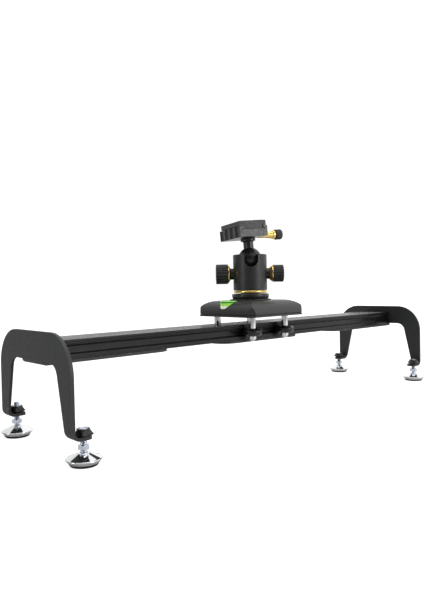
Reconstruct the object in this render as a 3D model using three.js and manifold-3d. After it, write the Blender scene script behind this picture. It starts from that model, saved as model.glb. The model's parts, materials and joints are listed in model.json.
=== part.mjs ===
// A tabletop camera slider: a ribbed aluminium rail between two bent sheet legs on four levelling
// feet, and a roller carriage that carries a ball head with a quick-release clamp.
// Millimetres. X runs along the rail, Z is up, and z = 0 is the floor under the middle of the rail.

import * as THREE from "three";
import { mergeVertices } from "three/addons/utils/BufferGeometryUtils.js";
import Module from "manifold-3d";

const wasm = await Module();
wasm.setup();

// ---------------------------------------------------------------- driving dimensions

const overallLength = 600; // between the outer faces of the two end plates
const runningGap = 0.3; // left wherever one piece moves in or past another
const restingGap = 0.05; // left where two fixed pieces lie flat on each other
const facets = { slim: 12, round: 20, large: 28 }; // facets round a turned piece, by its size

const sheet = { thickness: 3, innerBend: 4, outerBend: 8 };
const plate = { top: 113.6, halfWidth: 73.6, shoulder: 37, archTop: 86.1, archCorner: 12 };
const leg = { innerAtArch: 46.1, innerAtTab: 60.8 }; // half-width of the opening between the legs
const tab = { top: 24.9, length: 20.5, corner: 4.5 };
const flange = { endX: 147.5, screwX: 200, innerBend: 1, outerBend: 4, lap: 4 };

const rail = { top: 104.4, bottom: 85.4, halfWidth: 21.7, endGap: 1.1 };
const track = { z: 94.7, mouth: 4.7, floor: 3, depth: 3 }; // channel in each side: half-heights
const rib = { pitch: 3.6, depth: 0.45, land: 2.2, count: 11 }; // ribs along the top of the rail
const chamber = { inner: 2, outer: 15.4, wall: 3, corner: 1 }; // the two hollows inside the rail
const centrePlate = { halfLength: 72, corner: 20, thickness: 3, screwX: 48 };
const tripodHole = { middle: 4.1, side: 2.6, sideX: 22 }; // 3/8 in and 1/4 in tapping radii
const plateScrew = { head: 4.6, shank: 2.4, rise: 9, sunk: 0.2 }; // countersunk M5, head down

const foot = { x: 286.8, y: 68.5 };
const stud = { radius: 3, bottom: 4.6, top: 31.8, proud: 4, tip: 0.5 };
const hexNut = { acrossFlats: 9.6, bottom: 13.6, top: 17.8 };
const starKnob = {
  bossBottom: 25.2, bottom: 26.2, ringBottom: 30.4, top: 31.6, lobes: 5,
  lobeRadius: 8.9, valley: 6.4, ring: 5.9, boss: 5.5, sink: 0.6,
};
const cup = {
  skirtRadius: 13.5, skirtBottom: 2.3, rimRadius: 16, rimZ: 5.5, rimTop: 6.3,
  coneTop: 10.2, boss: 5.8, bossTop: 10.9, skin: 1.2,
};
const pad = { floorRadius: 12.2, lipRadius: 13.1, lip: 2.2, neck: 12.5, top: 4.3 };

const carriage = { x: -3.6, half: 49, bottom: 113.3, baseThickness: 2.4, baseLip: 0.3, grooveTop: 116.3 };
const dome = { shoulder: 117, plateau: 133, run: 21, wall: 4, roof: 3.2, innerRun: 19, corner: 6.2 };
const boss = { radius: 13 }; // solid column under the head, inside the hollow shell
const headBolt = { radius: 4.7, head: 14.3, headTop: 120.6, top: 147.5 };
const topDisc = { radius: 26.3, bevel: 0.3 };
const level = { x: -37.15, y: 2.3, radius: 10.4, top: 132.8, bevel: 0.6 };
const pocket = { radius: 10.7, floor: 121.5, wall: 3 };
const roller = { x: 30, y: 30.8, halfHeight: 4.2, faceRadius: 9.4, bevelHalf: 3.4, bevelRadius: 10.6 };
const tread = { radius: 11.8, half: 2 }; // the roller's rim, the part that runs in the channel
const spacer = { radius: 4.3, bolt: 2.5, headHeight: 3.4 };
const rollerNut = { acrossFlats: 8, height: 5.2, proud: 0.9 };

const headYaw = -131; // the drop notch faces this way, seen from above
const clampYaw = -17.4; // the clamp knob points this way, seen from above
const lean = 4.5; // the ball rests this far over to one side of the drop notch
const panBase = { bottom: 134.4, top: 141.2, radius: 23.9, spindle: 12, spindleTop: 153.2, boreTop: 148.5 };
const trim = { bottom: 141.9, top: 145.2, radius: 21.9, round: 1.1 };
const housing = { bottom: 145.5, top: 191, radius: 21.6, spotRadius: 9.2, spotDepth: 1.8 };
const ball = { z: 185.5, radius: 15, stem: 6.5, collar: 9.5, collarBottom: 207.4, collarTop: 211.6 };
const spigot = { radius: 3.9, height: 3 }; // the clamp turns on it
const notch = { halfWidth: 8.6, z: 183.6 };
const lock = { z: 166.5, shaft: 3.5, screwStart: 5, ridges: 20, ridgeDepth: 0.7 };
const mainGrip = {
  radius: 12.7, start: 28.4, end: 43.8, neck: 7.2, ringStart: 25.2, ringSmall: 8, ringLarge: 11.3,
};
const panGrip = {
  radius: 11, start: 29.2, end: 42.6, neck: 7, ringStart: 24.8, ringSmall: 7.8, ringLarge: 10.4,
};

const clamp = { bottom: 211.9, top: 225.4, half: 20, halfLength: 28, split: 13.5, floor: 221 };
const clampOffset = -5.2; // the clamp's middle, along its own screw, from the ball's axis
const dovetail = { foot: 17, neck: 14, rise: 3 }; // half-widths of the clamp's undercut channel
const clampScrew = { radius: 2, start: 10.4, z: 214.7 };
const capGrip = { radius: 6.7, start: 45.3, end: 54.7, ridges: 14, ridgeDepth: 0.5 };
const clampNeck = { small: 3.2, large: 4.8, ring: 5.6, ringStart: 41.4, ringEnd: 44.4 };
const release = { bottom: 225.8, top: 232.4, half: 19, halfLength: 25 };
const cameraScrew = { radius: 3.1, head: 8, headHeight: 3.2, slotHalf: 0.8, slotDepth: 1.4, drop: 0.4 };

// ---------------------------------------------------------------- materials

function finish(color, roughness, metalness) {
  return new THREE.MeshStandardMaterial({ color, roughness, metalness });
}

const powderCoat = finish("#3c3d3e", 0.6, 0.2);
const blackAnodised = finish("#232425", 0.4, 0.7);
const satinBlack = finish("#333435", 0.5, 0.3);
const blackPlastic = finish("#1c1c1d", 0.5, 0);
const rubber = finish("#161616", 0.85, 0);
const chrome = finish("#d8dadb", 0.1, 1);
const zinc = finish("#c3ccd4", 0.25, 1);
const steel = finish("#a9abad", 0.3, 1);
const gold = finish("#d9a83c", 0.25, 1);
const levelGreen = finish("#9fe84a", 0.15, 0);

// ---------------------------------------------------------------- solids

// An outline through corners [x, y, radius]; a corner with a radius becomes a tangent arc.
function outline(corners) {
  const path = new THREE.Shape();
  corners.forEach(([x, y, radius = 0], i) => {
    const corner = new THREE.Vector2(x, y);
    const back = new THREE.Vector2(...corners.at(i - 1)).sub(corner).normalize();
    const ahead = new THREE.Vector2(...corners[(i + 1) % corners.length]).sub(corner).normalize();
    const halfAngle = Math.acos(back.dot(ahead)) / 2;
    const run = radius / Math.tan(halfAngle);
    const start = corner.clone().addScaledVector(back, run);
    if (i === 0) path.moveTo(start.x, start.y);
    else path.lineTo(start.x, start.y);
    if (radius === 0) return;
    const inward = back.clone().add(ahead).normalize();
    const centre = corner.clone().addScaledVector(inward, radius / Math.sin(halfAngle));
    const end = corner.clone().addScaledVector(ahead, run);
    const from = start.sub(centre).angle();
    const to = end.sub(centre).angle();
    path.absarc(centre.x, centre.y, radius, from, to, back.cross(ahead) > 0);
  });
  path.closePath();
  return path;
}

function extruded(shape, depth, curveSegments) {
  return new THREE.ExtrudeGeometry(shape, { depth, curveSegments, bevelEnabled: false });
}

const axis = {
  x: new THREE.Vector3(1, 0, 0),
  y: new THREE.Vector3(0, 1, 0),
  z: new THREE.Vector3(0, 0, 1),
};

// A (y, z) outline swept from x0 to x1.
function alongX(shape, x0, x1, curveSegments = 6) {
  const turn = new THREE.Matrix4().makeBasis(axis.y, axis.z, axis.x);
  return extruded(shape, x1 - x0, curveSegments).applyMatrix4(turn).translate(x0, 0, 0);
}

// An (x, z) outline swept from y0 to y1.
function alongY(shape, y0, y1, curveSegments = 6) {
  const turn = new THREE.Matrix4().makeBasis(axis.x, axis.z, axis.y.clone().negate());
  return extruded(shape, y1 - y0, curveSegments).applyMatrix4(turn).translate(0, y1, 0);
}

// An (x, y) outline swept from z0 to z1.
function alongZ(shape, z0, z1, curveSegments = 6) {
  return extruded(shape, z1 - z0, curveSegments).translate(0, 0, z0);
}

// A profile of [radius, z] points turned about Z; it runs upwards on the outside.
function turned(profile, sides) {
  const points = profile.map(([radius, z]) => new THREE.Vector2(radius, z));
  return new THREE.LatheGeometry(points, sides).rotateX(Math.PI / 2);
}

function rod(radius, z0, z1, sides = facets.slim) {
  const height = z1 - z0;
  return new THREE.CylinderGeometry(radius, radius, height, sides)
    .rotateX(Math.PI / 2)
    .translate(0, 0, z0 + height / 2);
}

function hexPrism(acrossFlats, z0, z1) {
  return rod(acrossFlats / Math.sqrt(3), z0, z1, 6);
}

function block([x0, y0, z0], [x1, y1, z1]) {
  return new THREE.BoxGeometry(x1 - x0, y1 - y0, z1 - z0)
    .translate((x0 + x1) / 2, (y0 + y1) / 2, (z0 + z1) / 2);
}

// Points at equal steps along a circular or elliptical arc, angles in degrees.
function arc([cx, cy], [rx, ry], from, to, steps) {
  return Array.from({ length: steps + 1 }, (_, i) => {
    const angle = THREE.MathUtils.degToRad(from + ((to - from) * i) / steps);
    return [cx + rx * Math.cos(angle), cy + ry * Math.sin(angle)];
  });
}

function toManifold(geometry) {
  const plain = new THREE.BufferGeometry().setAttribute("position", geometry.getAttribute("position"));
  if (geometry.index) plain.setIndex(geometry.index);
  const merged = mergeVertices(plain, 1e-4);
  return new wasm.Manifold(new wasm.Mesh({
    numProp: 3,
    vertProperties: merged.getAttribute("position").array,
    triVerts: new Uint32Array(merged.index.array),
  }));
}

function fromManifold(solid) {
  const mesh = solid.getMesh();
  const geometry = new THREE.BufferGeometry();
  geometry.setAttribute("position", new THREE.BufferAttribute(mesh.vertProperties, 3));
  geometry.setIndex(new THREE.BufferAttribute(mesh.triVerts, 1));
  geometry.computeVertexNormals();
  return geometry;
}

function cut(body, ...tools) {
  return fromManifold(tools.reduce((rest, tool) => rest.subtract(toManifold(tool)), toManifold(body)));
}

function join(...parts) {
  return fromManifold(parts.map(toManifold).reduce((sum, part) => sum.add(part)));
}

function overlap(...parts) {
  return fromManifold(parts.map(toManifold).reduce((sum, part) => sum.intersect(part)));
}

const slider = new THREE.Group();

function add(parent, name, geometry, material) {
  const mesh = new THREE.Mesh(geometry, material);
  mesh.name = name;
  parent.add(mesh);
}

function place(parent, [x, y, z], yaw = 0) {
  const group = new THREE.Group();
  group.position.set(x, y, z);
  group.rotation.z = THREE.MathUtils.degToRad(yaw);
  parent.add(group);
  return group;
}

// ---------------------------------------------------------------- end plates

const outerX = overallLength / 2;
const innerX = outerX - sheet.thickness;
const tabBottom = tab.top - sheet.thickness;
const flangeTop = rail.bottom - restingGap;
const flangeBottom = flangeTop - sheet.thickness;

// Front view of the arch: two legs that taper towards the floor under a wide band.
function archOutline() {
  return outline([
    [-plate.halfWidth, tabBottom],
    [-leg.innerAtTab, tabBottom],
    [-leg.innerAtArch, plate.archTop, plate.archCorner],
    [leg.innerAtArch, plate.archTop, plate.archCorner],
    [leg.innerAtTab, tabBottom],
    [plate.halfWidth, tabBottom],
    [plate.halfWidth, plate.top, plate.shoulder],
    [-plate.halfWidth, plate.top, plate.shoulder],
  ]);
}

// Side view of sheet that drops down the outer face and bends inwards to a level strip.
function bentSheet(top, stripBottom, stripEnd, bend) {
  const stripTop = stripBottom + sheet.thickness;
  return outline([
    [innerX, top],
    [innerX, stripTop, bend.innerBend],
    [stripEnd, stripTop],
    [stripEnd, stripBottom],
    [outerX, stripBottom, bend.outerBend],
    [outerX, top],
  ]);
}

// Plan of the two tabs with their rounded tips, and everything outboard of them.
function tabPlan() {
  const tip = outerX - tab.length;
  const root = tip + tab.corner + 1;
  const slope = (leg.innerAtTab - leg.innerAtArch) / (plate.archTop - tabBottom);
  const inner = leg.innerAtTab - slope * sheet.thickness;
  return outline([
    [tip, -plate.halfWidth, tab.corner],
    [outerX + 1, -plate.halfWidth],
    [outerX + 1, plate.halfWidth],
    [tip, plate.halfWidth, tab.corner],
    [tip, inner, tab.corner],
    [root, inner],
    [root, -inner],
    [tip, -inner, tab.corner],
  ]);
}

// The +X end plate; the other is the same piece turned half round.
function endPlate() {
  const legSheet = bentSheet(plate.top, tabBottom, outerX - tab.length, sheet);
  const arch = overlap(
    alongY(legSheet, -plate.halfWidth, plate.halfWidth, 4),
    alongX(archOutline(), outerX - tab.length - 1, outerX + 1, 4),
    alongZ(tabPlan(), tabBottom - 1, plate.top + 1, 3),
  );
  const strip = bentSheet(plate.archTop + flange.lap, flangeBottom, flange.endX, flange);
  const stripPlan = outline([
    [flange.endX, -rail.halfWidth, centrePlate.corner],
    [outerX + 1, -rail.halfWidth],
    [outerX + 1, rail.halfWidth],
    [flange.endX, rail.halfWidth, centrePlate.corner],
  ]);
  const shelf = overlap(
    alongY(strip, -rail.halfWidth, rail.halfWidth, 2),
    alongZ(stripPlan, flangeBottom - 1, plate.archTop + flange.lap + 1),
  );
  const studHoles = [-foot.y, foot.y].map((y) =>
    rod(stud.radius + runningGap, tabBottom - 1, tab.top + 1).translate(foot.x, y, 0));
  return cut(join(arch, shelf), ...studHoles, plateScrewTool().translate(flange.screwX, 0, 0));
}

// A countersunk screw, head down, made larger all round by grow.
function countersunk(grow) {
  const { head, shank, rise, sunk } = plateScrew;
  const face = flangeBottom + sunk;
  return turned([
    [0, face - grow],
    [head + grow, face - grow],
    [shank + grow, face + head - shank],
    [shank + grow, flangeBottom + rise],
    [0, flangeBottom + rise],
  ], facets.slim);
}

function plateScrewTool() {
  return countersunk(runningGap);
}

add(place(slider, [0, 0, 0]), "end_plate_right", endPlate(), powderCoat);
add(place(slider, [0, 0, 0], 180), "end_plate_left", endPlate(), powderCoat);

// ---------------------------------------------------------------- rail

// Right half of the rail's section, from the top edge down to the bottom edge, as [y, z].
function railFlank() {
  const { halfWidth, top, bottom } = rail;
  const fine = 0.6;
  const score = [2.5, 4.1]; // two fine V grooves, by their depth under the top
  const scores = score.flatMap((down) => [
    [halfWidth, top - down + fine / 2],
    [halfWidth - fine / 2, top - down],
    [halfWidth, top - down - fine / 2],
  ]);
  return [
    [halfWidth - fine, top],
    [halfWidth, top - fine],
    ...scores,
    [halfWidth, track.z + track.mouth],
    [halfWidth - track.depth, track.z + track.floor],
    [halfWidth - track.depth, track.z - track.floor],
    [halfWidth, track.z - track.mouth],
    [halfWidth, bottom + fine],
    [halfWidth - fine, bottom],
  ];
}

// Ribs across the top, from the left edge to the right, as [y, z].
function ribbedTop() {
  const flank = (rib.pitch - rib.land) / 2;
  const valleys = Array.from({ length: rib.count }, (_, i) => (i - (rib.count - 1) / 2) * rib.pitch);
  return valleys.flatMap((y) => [
    [y - flank, rail.top],
    [y - flank / 3, rail.top - rib.depth],
    [y + flank / 3, rail.top - rib.depth],
    [y + flank, rail.top],
  ]);
}

function railSection() {
  const right = railFlank();
  const left = right.map(([y, z]) => [-y, z]).reverse();
  const section = outline([...left, ...ribbedTop(), ...right]);
  const { inner, outer, wall, corner } = chamber;
  for (const [y0, y1] of [[-outer, -inner], [inner, outer]]) {
    section.holes.push(outline([
      [y0, rail.bottom + wall, corner],
      [y1, rail.bottom + wall, corner],
      [y1, rail.top - wall, corner],
      [y0, rail.top - wall, corner],
    ]));
  }
  return section;
}

const screwXs = {
  end_screw_left: -flange.screwX,
  centre_screw_left: -centrePlate.screwX,
  centre_screw_right: centrePlate.screwX,
  end_screw_right: flange.screwX,
};
const railEnd = innerX - rail.endGap;
const railHoles = Object.values(screwXs).map((x) => plateScrewTool().translate(x, 0, 0));
add(slider, "rail", cut(alongX(railSection(), -railEnd, railEnd, 1), ...railHoles), blackAnodised);
for (const [name, x] of Object.entries(screwXs)) {
  add(place(slider, [x, 0, 0]), name, countersunk(0), steel);
}

// ---------------------------------------------------------------- tripod plate under the middle

function roundHole(x, radius) {
  const hole = new THREE.Path();
  for (let quarter = 0; quarter < 4; quarter++) {
    hole.absarc(x, 0, radius, (quarter * Math.PI) / 2, ((quarter + 1) * Math.PI) / 2);
  }
  return hole;
}

function tripodPlate() {
  const { halfLength, corner, thickness, screwX } = centrePlate;
  const plan = outline([
    [-halfLength, -rail.halfWidth, corner],
    [halfLength, -rail.halfWidth, corner],
    [halfLength, rail.halfWidth, corner],
    [-halfLength, rail.halfWidth, corner],
  ]);
  plan.holes.push(
    roundHole(-tripodHole.sideX, tripodHole.side),
    roundHole(0, tripodHole.middle),
    roundHole(tripodHole.sideX, tripodHole.side),
  );
  const slab = alongZ(plan, flangeTop - thickness, flangeTop, 2);
  const screws = [-screwX, screwX].map((x) => plateScrewTool().translate(x, 0, 0));
  return cut(slab, ...screws);
}

add(slider, "tripod_plate", tripodPlate(), powderCoat);

// ---------------------------------------------------------------- levelling feet

// A five-lobed knob on a short boss, its lobes flaring down from the ring round the top.
function starKnobSolid() {
  const { bossBottom, bottom, ringBottom, top, lobes, lobeRadius, valley, ring, sink } = starKnob;
  const steps = 6 * lobes;
  const star = Array.from({ length: steps }, (_, i) => {
    const angle = (i / steps) * 2 * Math.PI;
    const radius = valley + (lobeRadius - valley) * (0.5 + 0.5 * Math.cos(lobes * angle));
    return [radius * Math.cos(angle), radius * Math.sin(angle)];
  });
  const edge = 0.4;
  const flare = turned([
    [0, bottom],
    [lobeRadius - edge, bottom],
    [lobeRadius + 0.05, bottom + edge],
    [lobeRadius - edge, bottom + 3 * edge],
    [ring, ringBottom],
    [ring, top - edge],
    [ring - edge, top],
    [0, top],
  ], facets.slim);
  const lobed = overlap(alongZ(outline(star), bottom - 1, top + 1), flare);
  const body = join(lobed, rod(starKnob.boss, bossBottom, bottom + 1));
  const bore = rod(stud.radius + runningGap, bossBottom - 1, top + 1);
  return cut(body, bore, rod(stud.radius + 1, top - sink, top + 1));
}

// A rolled chrome disc on a rubber sole, with a socket that holds the stud's foot.
function cupSolid() {
  const { skirtRadius, skirtBottom, rimRadius, rimZ, rimTop, coneTop, boss: hub, bossTop } = cup;
  const rollRadius = rimTop - rimZ;
  const rolled = arc([rimRadius - rollRadius, rimZ], [rollRadius, rollRadius], -60, 90, 4);
  const bore = stud.radius + runningGap;
  const inside = pad.top + cup.skin;
  const edge = 0.4;
  return turned([
    [bore, inside],
    [hub, inside],
    [pad.neck - 1, pad.top + restingGap],
    [pad.neck + restingGap, pad.top + restingGap],
    [pad.neck + restingGap, skirtBottom],
    [skirtRadius, skirtBottom],
    ...rolled,
    [hub, coneTop],
    [hub, bossTop - edge],
    [hub - edge, bossTop],
    [bore, bossTop],
    [bore, inside],
  ], facets.round);
}

function padSolid() {
  const edge = 0.5;
  return turned([
    [0, 0],
    [pad.floorRadius - edge, 0],
    [pad.floorRadius, edge],
    [pad.lipRadius, pad.lip - edge],
    [pad.lipRadius, pad.lip],
    [pad.neck, pad.lip],
    [pad.neck, pad.top],
    [0, pad.top],
  ], facets.round);
}

function studSolid(top) {
  return turned([
    [0, stud.bottom],
    [stud.radius, stud.bottom],
    [stud.radius, top - stud.tip],
    [stud.radius - stud.tip, top],
    [0, top],
  ], facets.slim);
}

const hexHole = rod(stud.radius + restingGap, hexNut.bottom - 1, hexNut.top + 1);
const footPlaces = {
  front_left: [-foot.x, -foot.y],
  rear_left: [-foot.x, foot.y],
  front_right: [foot.x, -foot.y],
  rear_right: [foot.x, foot.y],
};

for (const [corner, [x, y]] of Object.entries(footPlaces)) {
  const group = place(slider, [x, y, 0]);
  const studTop = corner === "rear_left" ? stud.top + stud.proud : stud.top;
  add(group, `foot_pad_${corner}`, padSolid(), rubber);
  add(group, `foot_cup_${corner}`, cupSolid(), chrome);
  add(group, `foot_stud_${corner}`, studSolid(studTop), zinc);
  const nut = cut(hexPrism(hexNut.acrossFlats, hexNut.bottom, hexNut.top), hexHole);
  add(group, `foot_nut_${corner}`, nut, zinc);
  add(group, `foot_knob_${corner}`, starKnobSolid(), blackPlastic);
}

// ---------------------------------------------------------------- carriage

const wagon = place(slider, [carriage.x, 0, 0]);
const baseTop = carriage.bottom + carriage.baseThickness;
const rollerPlaces = {
  front_left: [-roller.x, -roller.y],
  rear_left: [-roller.x, roller.y],
  front_right: [roller.x, -roller.y],
  rear_right: [roller.x, roller.y],
};

// The dome seen along X or Y: a low straight wall that rolls over to the flat plateau.
function domeProfile({ half, bottom, shoulder, top, run }) {
  const right = arc([half - run, shoulder], [run, top - shoulder], 0, 90, 8);
  const left = right.map(([a, z]) => [-a, z]).reverse();
  return outline([[-half, bottom], [half, bottom], ...right, ...left]);
}

// A square plan whose corners are cut off.
function squarePlan(half, corner) {
  const a = half - corner;
  return outline([
    [a, -half],
    [half, -a],
    [half, a],
    [a, half],
    [-a, half],
    [-half, a],
    [-half, -a],
    [-a, -half],
  ]);
}

function domedBlock(shape) {
  const { half, bottom, top } = shape;
  const profile = domeProfile(shape);
  return overlap(
    alongX(profile, -half, half),
    alongY(profile, -half, half),
    alongZ(squarePlan(half, dome.corner), bottom, top),
  );
}

function carriageShell() {
  const { half, grooveTop } = carriage;
  const { shoulder, plateau, run } = dome;
  const outer = domedBlock({ half, bottom: grooveTop, shoulder, top: plateau, run });
  const hollow = domedBlock({
    half: half - dome.wall,
    bottom: grooveTop - 1,
    shoulder,
    top: plateau - dome.roof,
    run: dome.innerRun,
  });
  const column = rod(boss.radius, grooveTop - 2, plateau + 1, facets.round);
  const well = rod(pocket.radius + pocket.wall, pocket.floor - pocket.wall, plateau, facets.round);
  const recess = rod(pocket.radius, pocket.floor, plateau + 1, facets.round);
  for (const solid of [well, recess]) solid.translate(level.x, level.y, 0);
  return cut(
    outer,
    cut(hollow, column, well),
    recess,
    rod(headBolt.radius + runningGap, grooveTop - 1, plateau + 1),
    hexPrism(headBolt.head + 2 * runningGap, grooveTop - 1, headBolt.headTop + restingGap),
  );
}

function carriageBase() {
  const slab = alongZ(squarePlan(carriage.half + carriage.baseLip, dome.corner), carriage.bottom, baseTop);
  const bores = Object.values(rollerPlaces).map(([x, y]) =>
    rod(spacer.bolt + restingGap, carriage.bottom - 1, baseTop + 1).translate(x, y, 0));
  return cut(slab, ...bores);
}

// A gasket ring fills the shadow gap between the base and the shell.
function gasket() {
  const setBack = 1.2;
  const plan = squarePlan(carriage.half - setBack, dome.corner);
  plan.holes.push(squarePlan(carriage.half - dome.wall, dome.corner));
  return alongZ(plan, baseTop + restingGap, carriage.grooveTop - restingGap);
}

function headBoltSolid() {
  const { radius, head: acrossFlats, headTop, top: end } = headBolt;
  return join(hexPrism(acrossFlats, carriage.grooveTop, headTop), rod(radius, headTop - 1, end));
}

function topDiscSolid() {
  const { radius, bevel } = topDisc;
  const bore = headBolt.radius + runningGap;
  const discBottom = dome.plateau + restingGap;
  const discTop = panBase.bottom - restingGap;
  return turned([
    [bore, discBottom],
    [radius, discBottom],
    [radius, discTop - bevel],
    [radius - bevel, discTop],
    [bore, discTop],
    [bore, discBottom],
  ], facets.large);
}

// A round spirit level; its side shows where the dome falls away from it.
function levelSolid() {
  const { radius, top: face, bevel } = level;
  return turned([
    [0, pocket.floor + restingGap],
    [radius, pocket.floor + restingGap],
    [radius, face - bevel],
    [radius - bevel, face],
    [0, face],
  ], facets.round);
}

add(wagon, "carriage_base", carriageBase(), satinBlack);
add(wagon, "carriage_gasket", gasket(), rubber);
add(wagon, "carriage_shell", carriageShell(), satinBlack);
add(wagon, "carriage_top_disc", topDiscSolid(), satinBlack);
add(wagon, "head_bolt", headBoltSolid(), steel);
add(place(wagon, [level.x, level.y, 0]), "spirit_level", levelSolid(), levelGreen);

// ---------------------------------------------------------------- rollers

const rollerTop = track.z + roller.halfHeight;
const rollerBottom = track.z - roller.halfHeight;
const nutTop = rollerBottom - runningGap;
const spacerBottom = rollerTop + runningGap;

// A barrel-shaped wheel whose rim runs in the channel of the rail.
function rollerSolid() {
  const bore = spacer.bolt + 2 * restingGap;
  return turned([
    [bore, rollerBottom],
    [roller.faceRadius, rollerBottom],
    [roller.bevelRadius, track.z - roller.bevelHalf],
    [tread.radius, track.z - tread.half],
    [tread.radius, track.z + tread.half],
    [roller.bevelRadius, track.z + roller.bevelHalf],
    [roller.faceRadius, rollerTop],
    [bore, rollerTop],
    [bore, rollerBottom],
  ], facets.round);
}

// Bolt, head and spacer sleeve are one chromed piece: the head sits on the base plate.
function rollerBolt() {
  const { radius, bolt, headHeight } = spacer;
  const headTop = baseTop + headHeight;
  const boltEnd = nutTop - rollerNut.height - rollerNut.proud;
  const edge = 0.4;
  return turned([
    [0, boltEnd],
    [bolt - edge, boltEnd],
    [bolt, boltEnd + edge],
    [bolt, spacerBottom],
    [radius - edge, spacerBottom],
    [radius, spacerBottom + edge],
    [radius, carriage.bottom - restingGap],
    [bolt, carriage.bottom - restingGap],
    [bolt, baseTop + restingGap],
    [radius, baseTop + restingGap],
    [radius, headTop],
    [0, headTop],
  ], facets.slim);
}

for (const [corner, [x, y]] of Object.entries(rollerPlaces)) {
  const group = place(wagon, [x, y, 0]);
  add(group, `roller_${corner}`, rollerSolid(), blackPlastic);
  add(group, `roller_bolt_${corner}`, rollerBolt(), chrome);
  const nut = cut(
    hexPrism(rollerNut.acrossFlats, nutTop - rollerNut.height, nutTop),
    rod(spacer.bolt + restingGap, nutTop - rollerNut.height - 1, nutTop + 1),
  );
  add(group, `roller_nut_${corner}`, nut, chrome);
}

// ---------------------------------------------------------------- ball head

function panBaseSolid() {
  const { bottom, top, radius, spindle, spindleTop, boreTop } = panBase;
  const bore = headBolt.radius + runningGap;
  const upperRound = 1.5;
  const lowerRound = [2, 2.4];
  const edge = arc([radius - lowerRound[0], bottom + lowerRound[1]], lowerRound, -90, 0, 2);
  return turned([
    [0, boreTop],
    [bore, boreTop],
    [bore, bottom],
    ...edge,
    ...arc([radius - upperRound, top - upperRound], [upperRound, upperRound], 0, 90, 2),
    [spindle, top],
    [spindle, spindleTop],
    [0, spindleTop],
  ], facets.large);
}

// The ring's outer face bulges.
function trimRing() {
  const inner = panBase.spindle + runningGap;
  const { bottom, top, radius, round } = trim;
  const bulge = arc([radius - round, (bottom + top) / 2], [round, (top - bottom) / 2], -90, 90, 4);
  return turned([[inner, bottom], ...bulge, [inner, top], [inner, bottom]], facets.large);
}

// The drop notch faces local +X; the main lock knob is on local -Y and the pan lock on +Y.
function housingSolid() {
  const { bottom, top, radius, spotRadius, spotDepth } = housing;
  const outer = turned([
    [0, bottom],
    [radius - 0.4, bottom],
    [radius, bottom + 0.4],
    [radius, top - 1.2],
    [radius - 0.4, top - 0.4],
    [radius - 1.4, top],
    [0, top],
  ], facets.large);
  const socket = new THREE.SphereGeometry(ball.radius + 1.5 * runningGap, facets.round, 12)
    .rotateX(Math.PI / 2)
    .translate(0, 0, ball.z);
  const slot = outline([
    [-notch.halfWidth, notch.z - notch.halfWidth, notch.halfWidth - 0.01],
    [notch.halfWidth, notch.z - notch.halfWidth, notch.halfWidth - 0.01],
    [notch.halfWidth, top + 1],
    [-notch.halfWidth, top + 1],
  ]);
  const spots = [-1, 1].map((side) =>
    rod(spotRadius, radius - spotDepth, radius + 2, facets.round)
      .rotateX((-side * Math.PI) / 2)
      .translate(0, 0, lock.z));
  const shaftBore = rod(lock.shaft + runningGap, -radius - 1, radius + 1)
    .rotateX(Math.PI / 2)
    .translate(0, 0, lock.z);
  return cut(
    outer,
    socket,
    rod(panBase.spindle + runningGap, bottom - 1, panBase.spindleTop + runningGap, facets.large),
    alongX(slot, 0, radius + 1),
    shaftBore,
    ...spots,
  );
}

// A ball with a stem, a collar and the spigot that the clamp turns on.
function ballSolid() {
  const neck = THREE.MathUtils.radToDeg(Math.acos(ball.stem / ball.radius));
  return turned([
    ...arc([0, ball.z], [ball.radius, ball.radius], -90, neck, 9),
    [ball.stem, ball.collarBottom],
    [ball.collar - 1, ball.collarBottom + 0.5],
    [ball.collar, ball.collarBottom + 1.4],
    [ball.collar, ball.collarTop - 0.6],
    [ball.collar - 0.6, ball.collarTop],
    [spigot.radius, ball.collarTop],
    [spigot.radius, clamp.bottom + spigot.height],
    [0, clamp.bottom + spigot.height],
  ], facets.round);
}

// A ridged grip from u0 to u1 on the Z axis, its edges rounded off.
function ridgedGrip(radius, u0, u1, ridges, ridgeDepth) {
  const points = Array.from({ length: 2 * ridges }, (_, i) => {
    const angle = (i * Math.PI) / ridges;
    const r = radius - (i % 2 ? ridgeDepth : 0);
    return [r * Math.cos(angle), r * Math.sin(angle)];
  });
  const edge = 1;
  const envelope = turned([
    [0, u0],
    [radius - edge, u0],
    [radius + 0.1, u0 + edge],
    [radius + 0.1, u1 - edge],
    [radius - edge, u1],
    [0, u1],
  ], facets.round);
  return overlap(alongZ(outline(points), u0 - 1, u1 + 1), envelope);
}

// A lock knob on the Z axis: screw, neck and ridged grip in one piece.
function lockKnob(grip) {
  const neckStart = housing.radius - housing.spotDepth + 2 * runningGap;
  const screw = turned([
    [0, lock.screwStart],
    [lock.shaft, lock.screwStart],
    [lock.shaft, neckStart],
    [grip.neck, neckStart],
    [grip.neck, grip.start + 1],
    [0, grip.start + 1],
  ], facets.slim);
  return join(screw, ridgedGrip(grip.radius, grip.start, grip.end, lock.ridges, lock.ridgeDepth));
}

function lockCollar(grip) {
  const bore = grip.neck + runningGap;
  return turned([
    [bore, grip.ringStart],
    [grip.ringSmall, grip.ringStart],
    [grip.ringLarge, grip.start - 1],
    [grip.ringLarge, grip.start - restingGap],
    [bore, grip.start - restingGap],
    [bore, grip.ringStart],
  ], facets.round);
}

const head = place(wagon, [0, 0, 0], headYaw);
add(wagon, "pan_base", panBaseSolid(), blackAnodised);
add(head, "pan_trim_ring", trimRing(), gold);
add(head, "ball_housing", housingSolid(), satinBlack);

function lockSide(prefix, grip, side) {
  const group = place(head, [0, 0, lock.z]);
  group.rotation.x = (-side * Math.PI) / 2;
  add(group, `${prefix}_knob`, lockKnob(grip), blackPlastic);
  add(group, `${prefix}_knob_collar`, lockCollar(grip), gold);
}

lockSide("main_lock", mainGrip, -1);
lockSide("pan_lock", panGrip, 1);

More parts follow.
